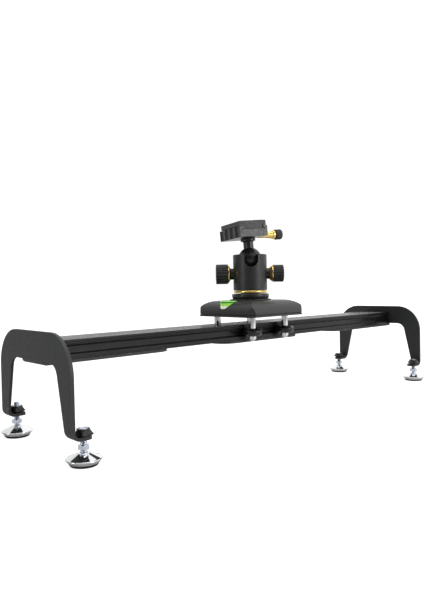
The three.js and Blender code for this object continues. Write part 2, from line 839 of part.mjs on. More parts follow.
// Everything on the ball leans with it, about the ball's centre.
const leaning = place(head, [0, 0, ball.z]);
leaning.rotation.x = THREE.MathUtils.degToRad(lean);
add(place(leaning, [0, 0, -ball.z]), "ball_stem", ballSolid(), blackAnodised);

// ---------------------------------------------------------------- quick-release clamp

const onBall = place(leaning, [0, 0, -ball.z], clampYaw - headYaw);
const top = place(onBall, [clampOffset, 0, 0]);

// Plan of the fixed jaw side: shallow scallops give it a grip.
function clampPlan() {
  const { half, halfLength, split } = clamp;
  const scallops = 4;
  const width = (2 * halfLength) / scallops;
  const depth = 1.6;
  const steps = 5;
  const grip = Array.from({ length: scallops * steps + 1 }, (_, i) => {
    const y = halfLength - (i * width) / steps;
    return [-half + depth * Math.abs(Math.sin((i / steps) * Math.PI)), y];
  });
  return outline([[split, -halfLength, 1], [split, halfLength, 1], ...grip]);
}

// The space that the screw takes, along X from x0 to x1.
function clampScrewBore(x0, x1) {
  const { radius, z } = clampScrew;
  return rod(radius + runningGap, x0, x1).rotateY(Math.PI / 2).translate(0, 0, z);
}

function clampBody() {
  const { bottom, top: rim, halfLength, split, floor } = clamp;
  const channel = outline([
    [-dovetail.foot, floor],
    [split + 1, floor],
    [split + 1, rim + 1],
    [-dovetail.neck, rim + 1],
    [-dovetail.neck, floor + dovetail.rise],
  ]);
  const { radius, height } = spigot;
  const socket = rod(radius + runningGap, bottom - 1, bottom + height + runningGap);
  return cut(
    alongZ(clampPlan(), bottom, rim),
    alongY(channel, -halfLength - 1, halfLength + 1),
    socket.translate(-clampOffset, 0, 0),
    clampScrewBore(clampScrew.start - 2 * runningGap, split + 1),
  );
}

function clampJaw() {
  const { bottom, top: rim, half, halfLength, split, floor } = clamp;
  const inner = split + runningGap;
  const jawBottom = bottom + 0.2;
  const setBack = 2;
  const section = outline([
    [inner, jawBottom],
    [half, jawBottom],
    [half, rim, 1],
    [dovetail.neck + runningGap, rim],
    [dovetail.neck + runningGap, floor + dovetail.rise],
    [dovetail.foot + runningGap, floor],
    [inner, floor],
  ]);
  const jaw = alongY(section, -halfLength + setBack, halfLength - setBack, 3);
  return cut(jaw, clampScrewBore(0, 2 * half));
}

// The clamp's screw runs along local +X and ends in a small ridged cap.
function clampKnob() {
  const { start, end, radius, ridges, ridgeDepth } = capGrip;
  const screw = turned([
    [0, clampScrew.start],
    [clampScrew.radius, clampScrew.start],
    [clampScrew.radius, start + 1],
    [0, start + 1],
  ], facets.slim);
  return join(screw, ridgedGrip(radius, start, end, ridges, ridgeDepth));
}

function clampCone() {
  const bore = clampScrew.radius + restingGap;
  const { small, large, ring, ringStart, ringEnd } = clampNeck;
  const coneStart = clamp.half + runningGap;
  return turned([
    [bore, coneStart],
    [small, coneStart],
    [large, ringStart],
    [ring, ringStart],
    [ring, ringEnd],
    [large, capGrip.start - restingGap],
    [bore, capGrip.start - restingGap],
    [bore, coneStart],
  ], facets.slim);
}

function releasePlate() {
  const { bottom, top: rim, half, halfLength } = release;
  const gap = runningGap;
  const edge = 0.8;
  const section = outline([
    [-dovetail.foot + 2 * gap, clamp.floor + gap],
    [dovetail.foot - 2 * gap, clamp.floor + gap],
    [dovetail.neck - gap, clamp.floor + dovetail.rise + gap],
    [dovetail.neck - gap, bottom],
    [half, bottom],
    [half, rim, edge],
    [-half, rim, edge],
    [-half, bottom],
    [-dovetail.neck + gap, bottom],
    [-dovetail.neck + gap, clamp.floor + dovetail.rise + gap],
  ]);
  const { radius, head: headRadius, headHeight } = cameraScrew;
  return cut(
    alongY(section, -halfLength, halfLength, 2),
    rod(radius + gap, clamp.floor - 1, rim + 1),
    rod(headRadius + gap, clamp.floor - 1, clamp.floor + headHeight + 2 * gap),
  );
}

// The captive 1/4-inch screw, dropped so that its tip lies just under the plate's face.
function cameraScrewSolid() {
  const { radius, head: headRadius, headHeight, slotHalf, slotDepth, drop } = cameraScrew;
  const bottom = clamp.floor + runningGap;
  const tip = release.top - drop;
  const body = turned([
    [0, bottom],
    [headRadius, bottom],
    [headRadius, bottom + headHeight],
    [radius, bottom + headHeight],
    [radius, tip - 0.4],
    [radius - 0.4, tip],
    [0, tip],
  ], facets.slim);
  const slot = block(
    [-slotHalf, -headRadius - 1, bottom - 1],
    [slotHalf, headRadius + 1, bottom + slotDepth],
  );
  return cut(body, slot);
}

add(top, "clamp_body", clampBody(), blackAnodised);
add(top, "clamp_jaw", clampJaw(), blackAnodised);
add(top, "release_plate", releasePlate(), satinBlack);
add(top, "camera_screw", cameraScrewSolid(), steel);

const clampAxis = place(top, [0, 0, clampScrew.z]);
clampAxis.rotation.y = Math.PI / 2;
add(clampAxis, "clamp_knob", clampKnob(), blackPlastic);
add(clampAxis, "clamp_knob_cone", clampCone(), gold);

export default slider;
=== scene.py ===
"""Looks of a tabletop camera slider: finely modelled pieces stand for the CAD nodes, on the same bodies.
Shapes are worked out in millimetres, and each piece becomes metres when it is put on its body."""

import json
import math

import bmesh
import bpy
from mathutils import Matrix, Vector

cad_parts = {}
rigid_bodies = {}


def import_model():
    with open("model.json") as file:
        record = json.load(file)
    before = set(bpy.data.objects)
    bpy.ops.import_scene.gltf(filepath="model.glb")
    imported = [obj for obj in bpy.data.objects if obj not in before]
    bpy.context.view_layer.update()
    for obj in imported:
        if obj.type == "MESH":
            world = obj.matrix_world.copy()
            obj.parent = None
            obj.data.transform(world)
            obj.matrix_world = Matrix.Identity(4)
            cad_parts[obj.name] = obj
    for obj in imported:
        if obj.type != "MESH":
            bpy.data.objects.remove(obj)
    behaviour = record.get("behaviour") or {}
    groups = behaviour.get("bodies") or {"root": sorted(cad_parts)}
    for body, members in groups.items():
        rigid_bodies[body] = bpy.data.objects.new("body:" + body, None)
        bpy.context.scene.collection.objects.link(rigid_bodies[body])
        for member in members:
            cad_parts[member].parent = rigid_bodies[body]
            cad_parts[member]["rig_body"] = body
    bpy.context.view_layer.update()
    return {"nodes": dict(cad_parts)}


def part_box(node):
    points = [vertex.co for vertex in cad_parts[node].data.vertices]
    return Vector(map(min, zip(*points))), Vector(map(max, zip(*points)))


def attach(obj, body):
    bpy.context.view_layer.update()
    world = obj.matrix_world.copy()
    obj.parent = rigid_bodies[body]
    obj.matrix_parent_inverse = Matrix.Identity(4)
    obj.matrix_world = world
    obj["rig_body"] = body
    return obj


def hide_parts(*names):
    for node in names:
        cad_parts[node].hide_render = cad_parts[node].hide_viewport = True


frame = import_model()

MM = 0.001
ROUND = 96  # sides of a large turned piece
SMALL = 48  # sides of a small one
CORNERS = ("front_left", "rear_left", "front_right", "rear_right")


def mm_box(node):
    """A CAD node's lowest and highest corners, in millimetres."""
    low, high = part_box(node)
    return low / MM, high / MM


# ---------------------------------------------------------------- mesh tools


def build(points, faces):
    mesh = bpy.data.meshes.new("piece")
    mesh.from_pydata([tuple(p) for p in points], [], faces)
    work = bmesh.new()
    work.from_mesh(mesh)
    bmesh.ops.recalc_face_normals(work, faces=work.faces)
    work.to_mesh(mesh)
    work.free()
    made = bpy.data.objects.new("piece", mesh)
    bpy.context.scene.collection.objects.link(made)
    return made


def rounded(corners, closed=True):
    """Corners (u, v) or (u, v, radius) as points, with an arc at each corner that has a radius."""
    points = []
    for i, corner in enumerate(corners):
        here = Vector(corner[:2])
        radius = corner[2] if len(corner) > 2 else 0
        if not radius:
            points.append(here)
            continue
        back = (Vector(corners[i - 1][:2]) - here).normalized()
        ahead = (Vector(corners[(i + 1) % len(corners)][:2]) - here).normalized()
        half = back.angle(ahead) / 2
        centre = here + (back + ahead).normalized() * (radius / math.sin(half))
        spoke = here + back * (radius / math.tan(half)) - centre
        sweep = math.pi - 2 * half
        step = math.radians(5 if radius > 5 else 15)
        count = max(2, round(sweep / step))
        side = 1 if back.cross(ahead) < 0 else -1
        for k in range(count + 1):
            turn = Matrix.Rotation(side * sweep * k / count, 2)
            points.append(centre + turn @ spoke)
    return points


PLANES = {
    "X": (Vector((0, 1, 0)), Vector((0, 0, 1)), Vector((1, 0, 0))),
    "Y": (Vector((1, 0, 0)), Vector((0, 0, 1)), Vector((0, 1, 0))),
    "Z": (Vector((1, 0, 0)), Vector((0, 1, 0)), Vector((0, 0, 1))),
}


def prism(outline, low, high, axis="Z"):
    """An outline in the plane across an axis, swept along it from low to high."""
    u, v, w = PLANES[axis]
    points = [u * a + v * b + w * end for end in (low, high) for a, b in outline]
    n = len(outline)
    sides = [(i, (i + 1) % n, n + (i + 1) % n, n + i) for i in range(n)]
    return build(points, [list(range(n)), list(range(n, 2 * n))] + sides)


def turned(profile, sides=ROUND, ring=False):
    """Rings (radius, z) stacked up Z; a radius may be a function of the angle. A ring closes on itself."""
    points, rings = [], []
    for radius, z in profile:
        if not callable(radius) and abs(radius) < 1e-6:
            rings.append([len(points)])
            points.append((0, 0, z))
            continue
        rings.append(range(len(points), len(points) + sides))
        for i in range(sides):
            angle = 2 * math.pi * i / sides
            r = radius(angle) if callable(radius) else radius
            points.append((r * math.cos(angle), r * math.sin(angle), z))
    faces = []
    for low, high in zip(rings, rings[1:] + ([rings[0]] if ring else [])):
        for i in range(sides):
            j = (i + 1) % sides
            corners = [low[i % len(low)], low[j % len(low)], high[j % len(high)], high[i % len(high)]]
            face = list(dict.fromkeys(corners))
            if len(face) > 2:
                faces.append(face)
    return build(points, faces)


def rod(radius, low, high, sides=SMALL):
    return turned([(0, low), (radius, low), (radius, high), (0, high)], sides)


def hexagon(across, low, high):
    return turned([(0, low), (across / math.sqrt(3), low), (across / math.sqrt(3), high), (0, high)], 6)


def box_solid(low, high):
    (x0, y0, z0), (x1, y1, z1) = low, high
    return prism([(x0, y0), (x1, y0), (x1, y1), (x0, y1)], z0, z1)


def placed(obj, matrix):
    obj.data.transform(matrix)
    return obj


def shifted(obj, x=0.0, y=0.0, z=0.0):
    return placed(obj, Matrix.Translation((x, y, z)))


def spun(obj, degrees, axis="Z"):
    return placed(obj, Matrix.Rotation(math.radians(degrees), 4, axis))


def applied(obj):
    """The object with its modifiers made part of its mesh."""
    bpy.context.view_layer.update()
    evaluated = obj.evaluated_get(bpy.context.evaluated_depsgraph_get())
    mesh = bpy.data.meshes.new_from_object(evaluated)
    obj.modifiers.clear()
    old, obj.data = obj.data, mesh
    bpy.data.meshes.remove(old)
    return obj


def combined(operation, target, tools):
    for tool in tools:
        step = target.modifiers.new("step", "BOOLEAN")
        step.operation = operation
        step.solver = "EXACT"
        step.object = tool
        applied(target)
        bpy.data.objects.remove(tool)
    return target


def cut(target, *tools):
    return combined("DIFFERENCE", target, tools)


def join(target, *tools):
    return combined("UNION", target, tools)


def overlap(target, *tools):
    return combined("INTERSECT", target, tools)


def softened(obj, width, segments=2, angle=30):
    """Rounds off every edge sharper than the angle."""
    work = bmesh.new()
    work.from_mesh(obj.data)
    bmesh.ops.remove_doubles(work, verts=work.verts, dist=1e-3)
    bmesh.ops.dissolve_degenerate(work, edges=work.edges, dist=1e-3)
    work.to_mesh(obj.data)
    work.free()
    bevel = obj.modifiers.new("edges", "BEVEL")
    bevel.width = width
    bevel.segments = segments
    bevel.limit_method = "ANGLE"
    bevel.angle_limit = math.radians(angle)
    bevel.miter_outer = "MITER_ARC"
    return applied(obj)


def shaded(obj, angle=38):
    """Smooth shading with flat faces kept flat and edges past the angle kept sharp."""
    obj.data.shade_smooth()
    obj.data.set_sharp_from_angle(angle=math.radians(angle))
    normals = obj.modifiers.new("normals", "WEIGHTED_NORMAL")
    normals.keep_sharp = True
    return obj


def dressed(obj, name, body, material):
    """Puts a finished shape on its body, in metres."""
    placed(obj, Matrix.Scale(MM, 4))
    shaded(obj)
    obj.name = name
    obj.data.name = name
    obj.data.materials.clear()
    obj.data.materials.append(material)
    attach(obj, body)
    return obj


def stand_in(obj, node, material):
    """The shape takes over from a CAD node."""
    body = frame["nodes"][node]["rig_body"]
    dressed(obj, f"{node}_detail", body, material)
    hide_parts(node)
    return obj


# ---------------------------------------------------------------- materials


class Finish:
    """A node material under construction: patterns in millimetres feed a Principled shader."""

    def __init__(self, name, color, metallic=0.0, roughness=0.5, specular=0.5, coat=0.0):
        self.material = bpy.data.materials.new(name)
        self.material.use_nodes = True
        self.nodes = self.material.node_tree.nodes
        self.links = self.material.node_tree.links
        self.shader = self.nodes["Principled BSDF"]
        self.place = self.nodes.new("ShaderNodeTexCoord").outputs["Object"]
        self.set("Base Color", (*color, 1))
        self.set("Metallic", metallic)
        self.set("Roughness", roughness)
        self.set("Specular IOR Level", specular)
        self.set("Coat Weight", coat)
        self.set("Coat Roughness", 0.08)

    def set(self, socket, value):
        self.shader.inputs[socket].default_value = value

    def drive(self, socket, source):
        self.links.new(source, self.shader.inputs[socket])

    def noise(self, size, detail=2.0, stretch=(1, 1, 1), offset=0.0):
        """Noise with features of about this size, longer along an axis whose stretch is over 1."""
        mapping = self.nodes.new("ShaderNodeMapping")
        mapping.inputs["Scale"].default_value = [1 / s for s in stretch]
        mapping.inputs["Location"].default_value = (offset, offset, offset)
        texture = self.nodes.new("ShaderNodeTexNoise")
        texture.inputs["Scale"].default_value = 1 / (size * MM)
        texture.inputs["Detail"].default_value = detail
        self.links.new(self.place, mapping.inputs["Vector"])
        self.links.new(mapping.outputs["Vector"], texture.inputs["Vector"])
        return texture.outputs["Fac"]

    def span(self, source, low, high, start=0.3, end=0.7):
        """The source's range from start to end, spread over low to high."""
        node = self.nodes.new("ShaderNodeMapRange")
        for socket, value in (("From Min", start), ("From Max", end), ("To Min", low), ("To Max", high)):
            node.inputs[socket].default_value = value
        self.links.new(source, node.inputs["Value"])
        return node.outputs["Result"]

    def math(self, operation, a, b):
        node = self.nodes.new("ShaderNodeMath")
        node.operation = operation
        for socket, value in zip(node.inputs, (a, b)):
            if isinstance(value, (int, float)):
                socket.default_value = value
            else:
                self.links.new(value, socket)
        return node.outputs["Value"]

    def blend(self, factor, first, second):
        """A colour between two, each a tuple or a socket."""
        node = self.nodes.new("ShaderNodeMix")
        node.data_type = "RGBA"
        self.links.new(factor, node.inputs["Factor"])
        for socket, value in zip((node.inputs[6], node.inputs[7]), (first, second)):
            if isinstance(value, tuple):
                socket.default_value = (*value, 1)
            else:
                self.links.new(value, socket)
        return node.outputs[2]

    def bump(self, height, depth, under=None):
        """Raises the surface by up to depth millimetres where the height is 1."""
        node = self.nodes.new("ShaderNodeBump")
        node.inputs["Strength"].default_value = 1.0
        node.inputs["Distance"].default_value = depth * MM
        self.links.new(height, node.inputs["Height"])
        if under is not None:
            self.links.new(under, node.inputs["Normal"])
        self.drive("Normal", node.outputs["Normal"])
        return node.outputs["Normal"]

    def edges(self, radius):
        """About 1 on an edge, and 0 on flat faces."""
        bevel = self.nodes.new("ShaderNodeBevel")
        bevel.samples = 6
        bevel.inputs["Radius"].default_value = radius * MM
        geometry = self.nodes.new("ShaderNodeNewGeometry")
        dot = self.nodes.new("ShaderNodeVectorMath")
        dot.operation = "DOT_PRODUCT"
        self.links.new(bevel.outputs["Normal"], dot.inputs[0])
        self.links.new(geometry.outputs["Normal"], dot.inputs[1])
        return self.span(dot.outputs["Value"], 1, 0, 0.85, 0.995)


def grained(name, color, lighter, roughness, grain, depth, **options):
    """A painted or moulded surface: fine grain, faint mottling and uneven gloss."""
    finish = Finish(name, color, roughness=roughness, **options)
    mottle = finish.noise(9, 3)
    finish.drive("Base Color", finish.blend(finish.span(mottle, 0, 1), color, lighter))
    gloss = finish.noise(3.5, 3, offset=5)
    finish.drive("Roughness", finish.span(gloss, roughness - 0.05, roughness + 0.06))
    finish.bump(finish.noise(grain, 2, offset=2), depth)
    return finish


def powder_coat():
    dark, light = (0.018, 0.0192, 0.0192), (0.023, 0.0243, 0.0243)
    finish = grained("powder_coat", dark, light, 0.5, 0.45, 0.02)
    rim = finish.edges(0.5)
    chips = finish.span(finish.noise(2.6, 4, offset=3), 0, 1, 0.62, 0.66)
    worn = finish.math("MULTIPLY", rim, chips)
    coat = finish.blend(finish.span(finish.noise(11, 3), 0, 1), dark, light)
    # Every edge a quarter of the way to grey: a painted edge highlight. The chips are wear that shows bare metal.
    edge_highlight = finish.blend(finish.math("MULTIPLY", rim, 0.25), coat, (0.09, 0.09, 0.09))
    finish.drive("Base Color", finish.blend(worn, edge_highlight, (0.45, 0.45, 0.44)))
    return finish.material


def drawn_aluminium(name, color, along, roughness=0.34):
    """Black anodised extrusion, with faint die lines along one axis."""
    finish = Finish(name, color, roughness=roughness, specular=0.38)
    stretch = [80.0 if axis == along else 1.0 for axis in "XYZ"]
    lines = finish.noise(0.5, 3, stretch)
    mottle = finish.noise(14, 3)
    lighter = tuple(1.5 * c for c in color)
    finish.drive("Base Color", finish.blend(finish.span(mottle, 0, 1), color, lighter))
    finish.drive("Roughness", finish.span(lines, roughness - 0.06, roughness + 0.08))
    finish.bump(lines, 0.001)
    return finish.material


def polished_metal(name, color, roughness, stain, depth=0.002):
    """Plated or polished metal with faint smudges."""
    finish = Finish(name, color, metallic=1.0, roughness=roughness)
    smudge = finish.noise(5, 4)
    finish.drive("Roughness", finish.span(smudge, roughness * 0.7, roughness * 1.5))
    darker = tuple(stain * c for c in color)
    finish.drive("Base Color", finish.blend(finish.span(finish.noise(8, 3, offset=4), 0, 1), color, darker))
    finish.bump(finish.noise(1.2, 3, offset=1), depth)
    return finish.material


def rubber_finish():
    finish = grained("rubber", (0.008, 0.008, 0.008), (0.013, 0.013, 0.012), 0.75, 0.6, 0.05, specular=0.3)
    return finish.material


def level_liquid():
    finish = Finish("level_liquid", (0.2, 0.75, 0.07), roughness=0.12, coat=0.6)
    glow = finish.noise(6, 2)
    finish.drive("Base Color", finish.blend(finish.span(glow, 0, 1), (0.16, 0.66, 0.06), (0.34, 0.9, 0.12)))
    # The emission gives the liquid a painted glow.
    finish.set("Emission Color", (0.25, 0.9, 0.08, 1))
    finish.set("Emission Strength", 0.12)
    return finish.material


COAT = powder_coat()
RAIL_BLACK = drawn_aluminium("rail_anodised", (0.006, 0.006, 0.0062), "X", 0.24)
TURNED_BLACK = grained("turned_anodised", (0.010, 0.010, 0.0105), (0.014, 0.014, 0.0145), 0.3, 0.5, 0.003,
                       specular=0.55).material
SATIN = grained("satin_black", (0.020, 0.020, 0.021), (0.026, 0.026, 0.027), 0.42, 0.4, 0.006).material
HEAD_SATIN = grained("head_satin", (0.013, 0.0132, 0.0138), (0.017, 0.0172, 0.0178), 0.42, 0.3, 0.006).material
PLASTIC = grained("moulded_plastic", (0.007, 0.007, 0.0072), (0.010, 0.010, 0.0102), 0.38, 0.35, 0.015).material
ROLLER_BLACK = grained("roller_plastic", (0.006, 0.006, 0.006), (0.009, 0.009, 0.009), 0.16, 0.5, 0.004,
                       specular=0.6).material
RUBBER = rubber_finish()
CHROME = polished_metal("chrome", (0.82, 0.83, 0.84), 0.07, 0.93)
ZINC = polished_metal("zinc_plate", (0.80, 0.86, 0.95), 0.24, 0.92, 0.004)
STEEL = polished_metal("plain_steel", (0.5, 0.5, 0.51), 0.28, 0.85, 0.006)
GOLD = polished_metal("gold_anodised", (1.0, 0.72, 0.24), 0.18, 0.92, 0.0005)
LIQUID = level_liquid()

# ---------------------------------------------------------------- end plates

SHEET = 3.0
plate_low, plate_high = mm_box("end_plate_right")
rail_low, rail_high = mm_box("rail")
ARCH_TOP = 86.1
TAB_LENGTH, TAB_CORNER = 20.5, 4.5
FLANGE_BOTTOM = mm_box("tripod_plate")[0].z


def arch_outline():
    half, low, high = plate_high.y, plate_low.z, plate_high.z
    at_arch, at_tab = 46.1, 60.8
    return rounded([
        (-half, low),
        (-at_tab, low),
        (-at_arch, ARCH_TOP, 12),
        (at_arch, ARCH_TOP, 12),
        (at_tab, low),
        (half, low),
        (half, high, 37),
        (-half, high, 37),
    ])


def bent_sheet(top, bottom, end, inner_bend, outer_bend):
    """Side view of sheet that runs down the outer face and bends in to a level strip."""
    outer = plate_high.x
    return rounded([
        (outer - SHEET, top),
        (outer - SHEET, bottom + SHEET, inner_bend),
        (end, bottom + SHEET),
        (end, bottom),
        (outer, bottom, outer_bend),
        (outer, top),
    ])


def tab_plan():
    """Plan of the two tabs with their rounded tips, and everything outboard of them."""
    half, tip, inner = plate_high.y, plate_high.x - TAB_LENGTH, 60.1
    root, far = tip + TAB_CORNER + 1, plate_high.x + 1
    return rounded([
        (tip, -half, TAB_CORNER),
        (far, -half),
        (far, half),
        (tip, half, TAB_CORNER),
        (tip, inner, TAB_CORNER),
        (root, inner),
        (root, -inner),
        (tip, -inner, TAB_CORNER),
    ])


def strip_plan(x0, x1, corner):
    """Plan of a strip as wide as the rail, with rounded corners at x0."""
    half = rail_high.y
    return rounded([(x0, -half, corner), (x1, -half), (x1, half), (x0, half, corner)])


def end_plate():
    outer, half = plate_high.x, plate_high.y
    legs = prism(bent_sheet(plate_high.z, plate_low.z, outer - TAB_LENGTH, 4, 8), -half, half, "Y")
    legs = overlap(legs, prism(tab_plan(), plate_low.z - 1, plate_high.z + 1))
    arch = overlap(legs, prism(arch_outline(), outer - TAB_LENGTH - 1, outer + 1, "X"))
    strip = prism(bent_sheet(ARCH_TOP + 4, FLANGE_BOTTOM, plate_low.x, 1, 4), -rail_high.y, rail_high.y, "Y")
    shelf = overlap(strip, prism(strip_plan(plate_low.x, outer + 1, 20), FLANGE_BOTTOM - 1, ARCH_TOP + 5))
    plate = join(arch, shelf)
    for y in (-FOOT_Y, FOOT_Y):
        plate = cut(plate, shifted(rod(3.2, plate_low.z - 1, plate_low.z + SHEET + 1), FOOT_X, y))
    plate = cut(plate, shifted(countersink(0.3), 200))
    return softened(plate, 0.4)


def countersink(grow):
    head, shank, rise = 4.6, 2.4, 9
    bottom = FLANGE_BOTTOM + 0.2
    return turned([
        (0, bottom - grow),
        (head + grow, bottom - grow),
        (shank + grow, bottom + head - shank),
        (shank + grow, FLANGE_BOTTOM + rise),
        (0, FLANGE_BOTTOM + rise),
    ], SMALL)


cup_low, cup_high = mm_box("foot_cup_front_right")
FOOT_X = (cup_low.x + cup_high.x) / 2
FOOT_Y = -(cup_low.y + cup_high.y) / 2

stand_in(end_plate(), "end_plate_right", COAT)
stand_in(spun(end_plate(), 180), "end_plate_left", COAT)

# ---------------------------------------------------------------- rail


def rail_section():
    half, top, bottom = rail_high.y, rail_high.z, rail_low.z
    groove = mm_box("roller_front_left")
    middle = (groove[0].z + groove[1].z) / 2
    right = [
        (half, top, 0.6),
        (half, top - 2.2),
        (half - 0.3, top - 2.5),
        (half, top - 2.8),
        (half, top - 3.8),
        (half - 0.3, top - 4.1),
        (half, top - 4.4),
        (half, middle + 4.7, 0.35),
        (half - 3, middle + 3, 0.6),
        (half - 3, middle - 3, 0.6),
        (half, middle - 4.7, 0.35),
        (half, bottom, 0.6),
    ]
    left = [(-y, z, *rest) for y, z, *rest in reversed(right)]
    ribs = []
    for i in range(11):
        y = (i - 5) * 3.6
        ribs += [(y - 0.7, top, 0.15), (y - 0.3, top - 0.45), (y + 0.3, top - 0.45), (y + 0.7, top, 0.15)]
    return rounded(left + ribs + right)


def rail_body():
    body = prism(rail_section(), rail_low.x, rail_high.x, "X")
    low, high = rail_low.z + 3, rail_high.z - 3
    for a, b in ((-15.4, -2), (2, 15.4)):
        chamber = rounded([(a, low, 1), (b, low, 1), (b, high, 1), (a, high, 1)])
        body = cut(body, prism(chamber, rail_low.x - 1, rail_high.x + 1, "X"))
    for x in (-200, -48, 48, 200):
        body = cut(body, shifted(countersink(0.3), x))
    return body


stand_in(rail_body(), "rail", RAIL_BLACK)

for node, x in (("end_screw_left", -200), ("centre_screw_left", -48),
                ("centre_screw_right", 48), ("end_screw_right", 200)):
    socket = hexagon(4, FLANGE_BOTTOM - 1, FLANGE_BOTTOM + 2.4)
    stand_in(shifted(softened(cut(countersink(0), socket), 0.15), x), node, STEEL)


def tripod_plate():
    half, width, corner = 72, rail_high.y, 20
    plan = rounded([(-half, -width, corner), (half, -width, corner), (half, width, corner), (-half, width, corner)])
    slab = prism(plan, FLANGE_BOTTOM, FLANGE_BOTTOM + SHEET)
    for x, radius in ((0, 4.1), (-22, 2.6), (22, 2.6)):
        slab = cut(slab, shifted(rod(radius, FLANGE_BOTTOM - 1, FLANGE_BOTTOM + SHEET + 1), x))
    for x in (-48, 48):
        slab = cut(slab, shifted(countersink(0.3), x))
    return softened(slab, 0.35)


stand_in(tripod_plate(), "tripod_plate", COAT)

# ---------------------------------------------------------------- levelling feet


def thread_profile(radius, pitch, depth, z):
    """Radius round a helical thread at one height."""
    def at(angle):
        phase = (z / pitch - angle / (2 * math.pi)) % 1
        return radius - depth * abs(2 * phase - 1)
    return at


def threaded(radius, low, high, pitch=1.0, depth=0.35, sides=32):
    """A threaded rod with chamfered ends."""
    steps = math.ceil((high - low) / pitch * 6)
    core = radius - depth
    rings = [(0, low), (core - 0.4, low)]
    for i in range(1, steps):
        z = low + (high - low) * i / steps
        end = min(z - low, high - z)
        fade = depth * min(1, end / 0.6)
        rings.append((thread_profile(core + fade, pitch, fade, z), z))
    return turned(rings + [(core - 0.4, high), (0, high)], sides)


def hex_nut(across, low, high, bore):
    corner = across / math.sqrt(3)
    chamfer = turned([
        (0, low),
        (across / 2 - 0.1, low),
        (corner + 0.1, low + 0.9),
        (corner + 0.1, high - 0.9),
        (across / 2 - 0.1, high),
        (0, high),
    ], SMALL)
    nut = overlap(hexagon(across, low - 1, high + 1), chamfer)
    return softened(cut(nut, rod(bore, low - 1, high + 1)), 0.12)


def star_knob(boss_bottom, top):
    """A five-lobed knob on a short boss; its lobes flare down from a ring round a sunk top."""
    lobes, reach, valley, ring, boss = 5, 8.9, 6.3, 5.9, 5.5
    bottom, ring_bottom = boss_bottom + 1, top - 1.2

    def lobed(share, shrink=0.0):
        def at(angle):
            wave = 0.5 + 0.5 * math.cos(lobes * angle)
            full = valley + (reach - valley) * wave ** 0.85
            return ring + (full - ring) * share - shrink
        return at

    rings = [(boss - 0.3, boss_bottom), (boss, boss_bottom + 0.3), (boss, bottom), (lobed(1, 0.5), bottom)]
    rings += [(lobed(1, 0.15), bottom + 0.15), (lobed(1), bottom + 0.5), (lobed(1), bottom + 0.9)]
    low = bottom + 0.9
    for i in range(1, 9):
        t = i / 8
        rings.append((lobed(1 - t ** 0.9), low + (ring_bottom - low) * t))
    rings += [(ring, top - 0.35), (ring - 0.1, top - 0.1), (ring - 0.35, top), (4.1, top), (4, top - 0.1),
              (4, top - 0.6), (3.3, top - 0.6), (3.3, boss_bottom)]
    return turned(rings, 80, ring=True)


def knob_insert(top):
    """The bright threaded bush in the middle of a star knob."""
    return turned([(3.3, top - 0.55), (3.95, top - 0.55), (3.95, top + 0.05), (3.8, top + 0.2), (3.45, top + 0.2),
                   (3.3, top + 0.05)], SMALL, ring=True)


def cup():
    """A chromed disc with a rolled rim that rises as a straight cone to a low flat boss."""
    rim, skirt_bottom, bore = (cup_high.x - cup_low.x) / 2, cup_low.z, 3.3
    boss, boss_top, roll, rim_z = 5.8, cup_high.z, 0.8, 5.5
    rolled = [
        (rim - roll + roll * math.cos(a), rim_z + roll * math.sin(a))
        for a in (math.radians(-50 + 14 * i) for i in range(11))
    ]
    cone = []
    for i in range(1, 13):
        t = i / 12
        cone.append((rim - roll + (boss + 0.4 - rim + roll) * t, rim_z + roll + (10.2 - rim_z - roll) * t))
    inner = [(11.5, 4.35), (12.55, 4.35), (12.55, skirt_bottom)]
    shell = [(bore, 5.5), (boss, 5.5)] + inner + [(13.4, skirt_bottom), (13.6, skirt_bottom + 0.2)] + rolled + cone
    shell += [(boss, 10.4), (boss, boss_top - 0.25), (boss - 0.25, boss_top), (bore, boss_top)]
    return turned(shell, ROUND, ring=True)


def sole():
    floor, lip_radius, lip, neck, top = 12.2, 13.1, 2.2, 12.5, 4.3
    grooves = []
    for r in (10.7, 8.3, 5.9):
        grooves += [(r - 0.7, 0), (r - 0.5, 0.5), (r + 0.5, 0.5), (r + 0.7, 0)]
    profile = [(0, 0)] + sorted(grooves)
    profile += [(floor - 0.4, 0), (floor, 0.4), (lip_radius - 0.1, lip - 0.5), (lip_radius, lip - 0.3),
                (lip_radius - 0.1, lip), (neck, lip), (neck, top), (0, top)]
    return turned(profile, ROUND)


for corner in CORNERS:
    low, high = mm_box(f"foot_cup_{corner}")
    x, y = (low.x + high.x) / 2, (low.y + high.y) / 2
    stand_in(shifted(sole(), x, y), f"foot_pad_{corner}", RUBBER)
    stand_in(shifted(cup(), x, y), f"foot_cup_{corner}", CHROME)
    low, high = mm_box(f"foot_stud_{corner}")
    stand_in(shifted(threaded(3.0, low.z, high.z), x, y), f"foot_stud_{corner}", ZINC)
    low, high = mm_box(f"foot_nut_{corner}")
    stand_in(shifted(hex_nut(9.6, low.z, high.z, 3.03), x, y), f"foot_nut_{corner}", ZINC)
    low, high = mm_box(f"foot_knob_{corner}")
    stand_in(shifted(spun(star_knob(low.z, high.z), -42.4), x, y), f"foot_knob_{corner}", PLASTIC)
    dressed(shifted(knob_insert(high.z), x, y), f"foot_insert_{corner}", f"foot_lock_{corner}", ZINC)

# ---------------------------------------------------------------- carriage

base_low, base_high = mm_box("carriage_base")
shell_low, shell_high = mm_box("carriage_shell")
CARRIAGE_X = (base_low.x + base_high.x) / 2
HALF = (shell_high.y - shell_low.y) / 2
CORNER = 6.2
PLATEAU = shell_high.z
SHOULDER = 117.0
ROLL_RUN = 21.0


def square_plan(half, corner):
    a = half - corner
    return [(a, -half), (half, -a), (half, a), (a, half), (-a, half), (-half, a), (-half, -a), (-a, -half)]


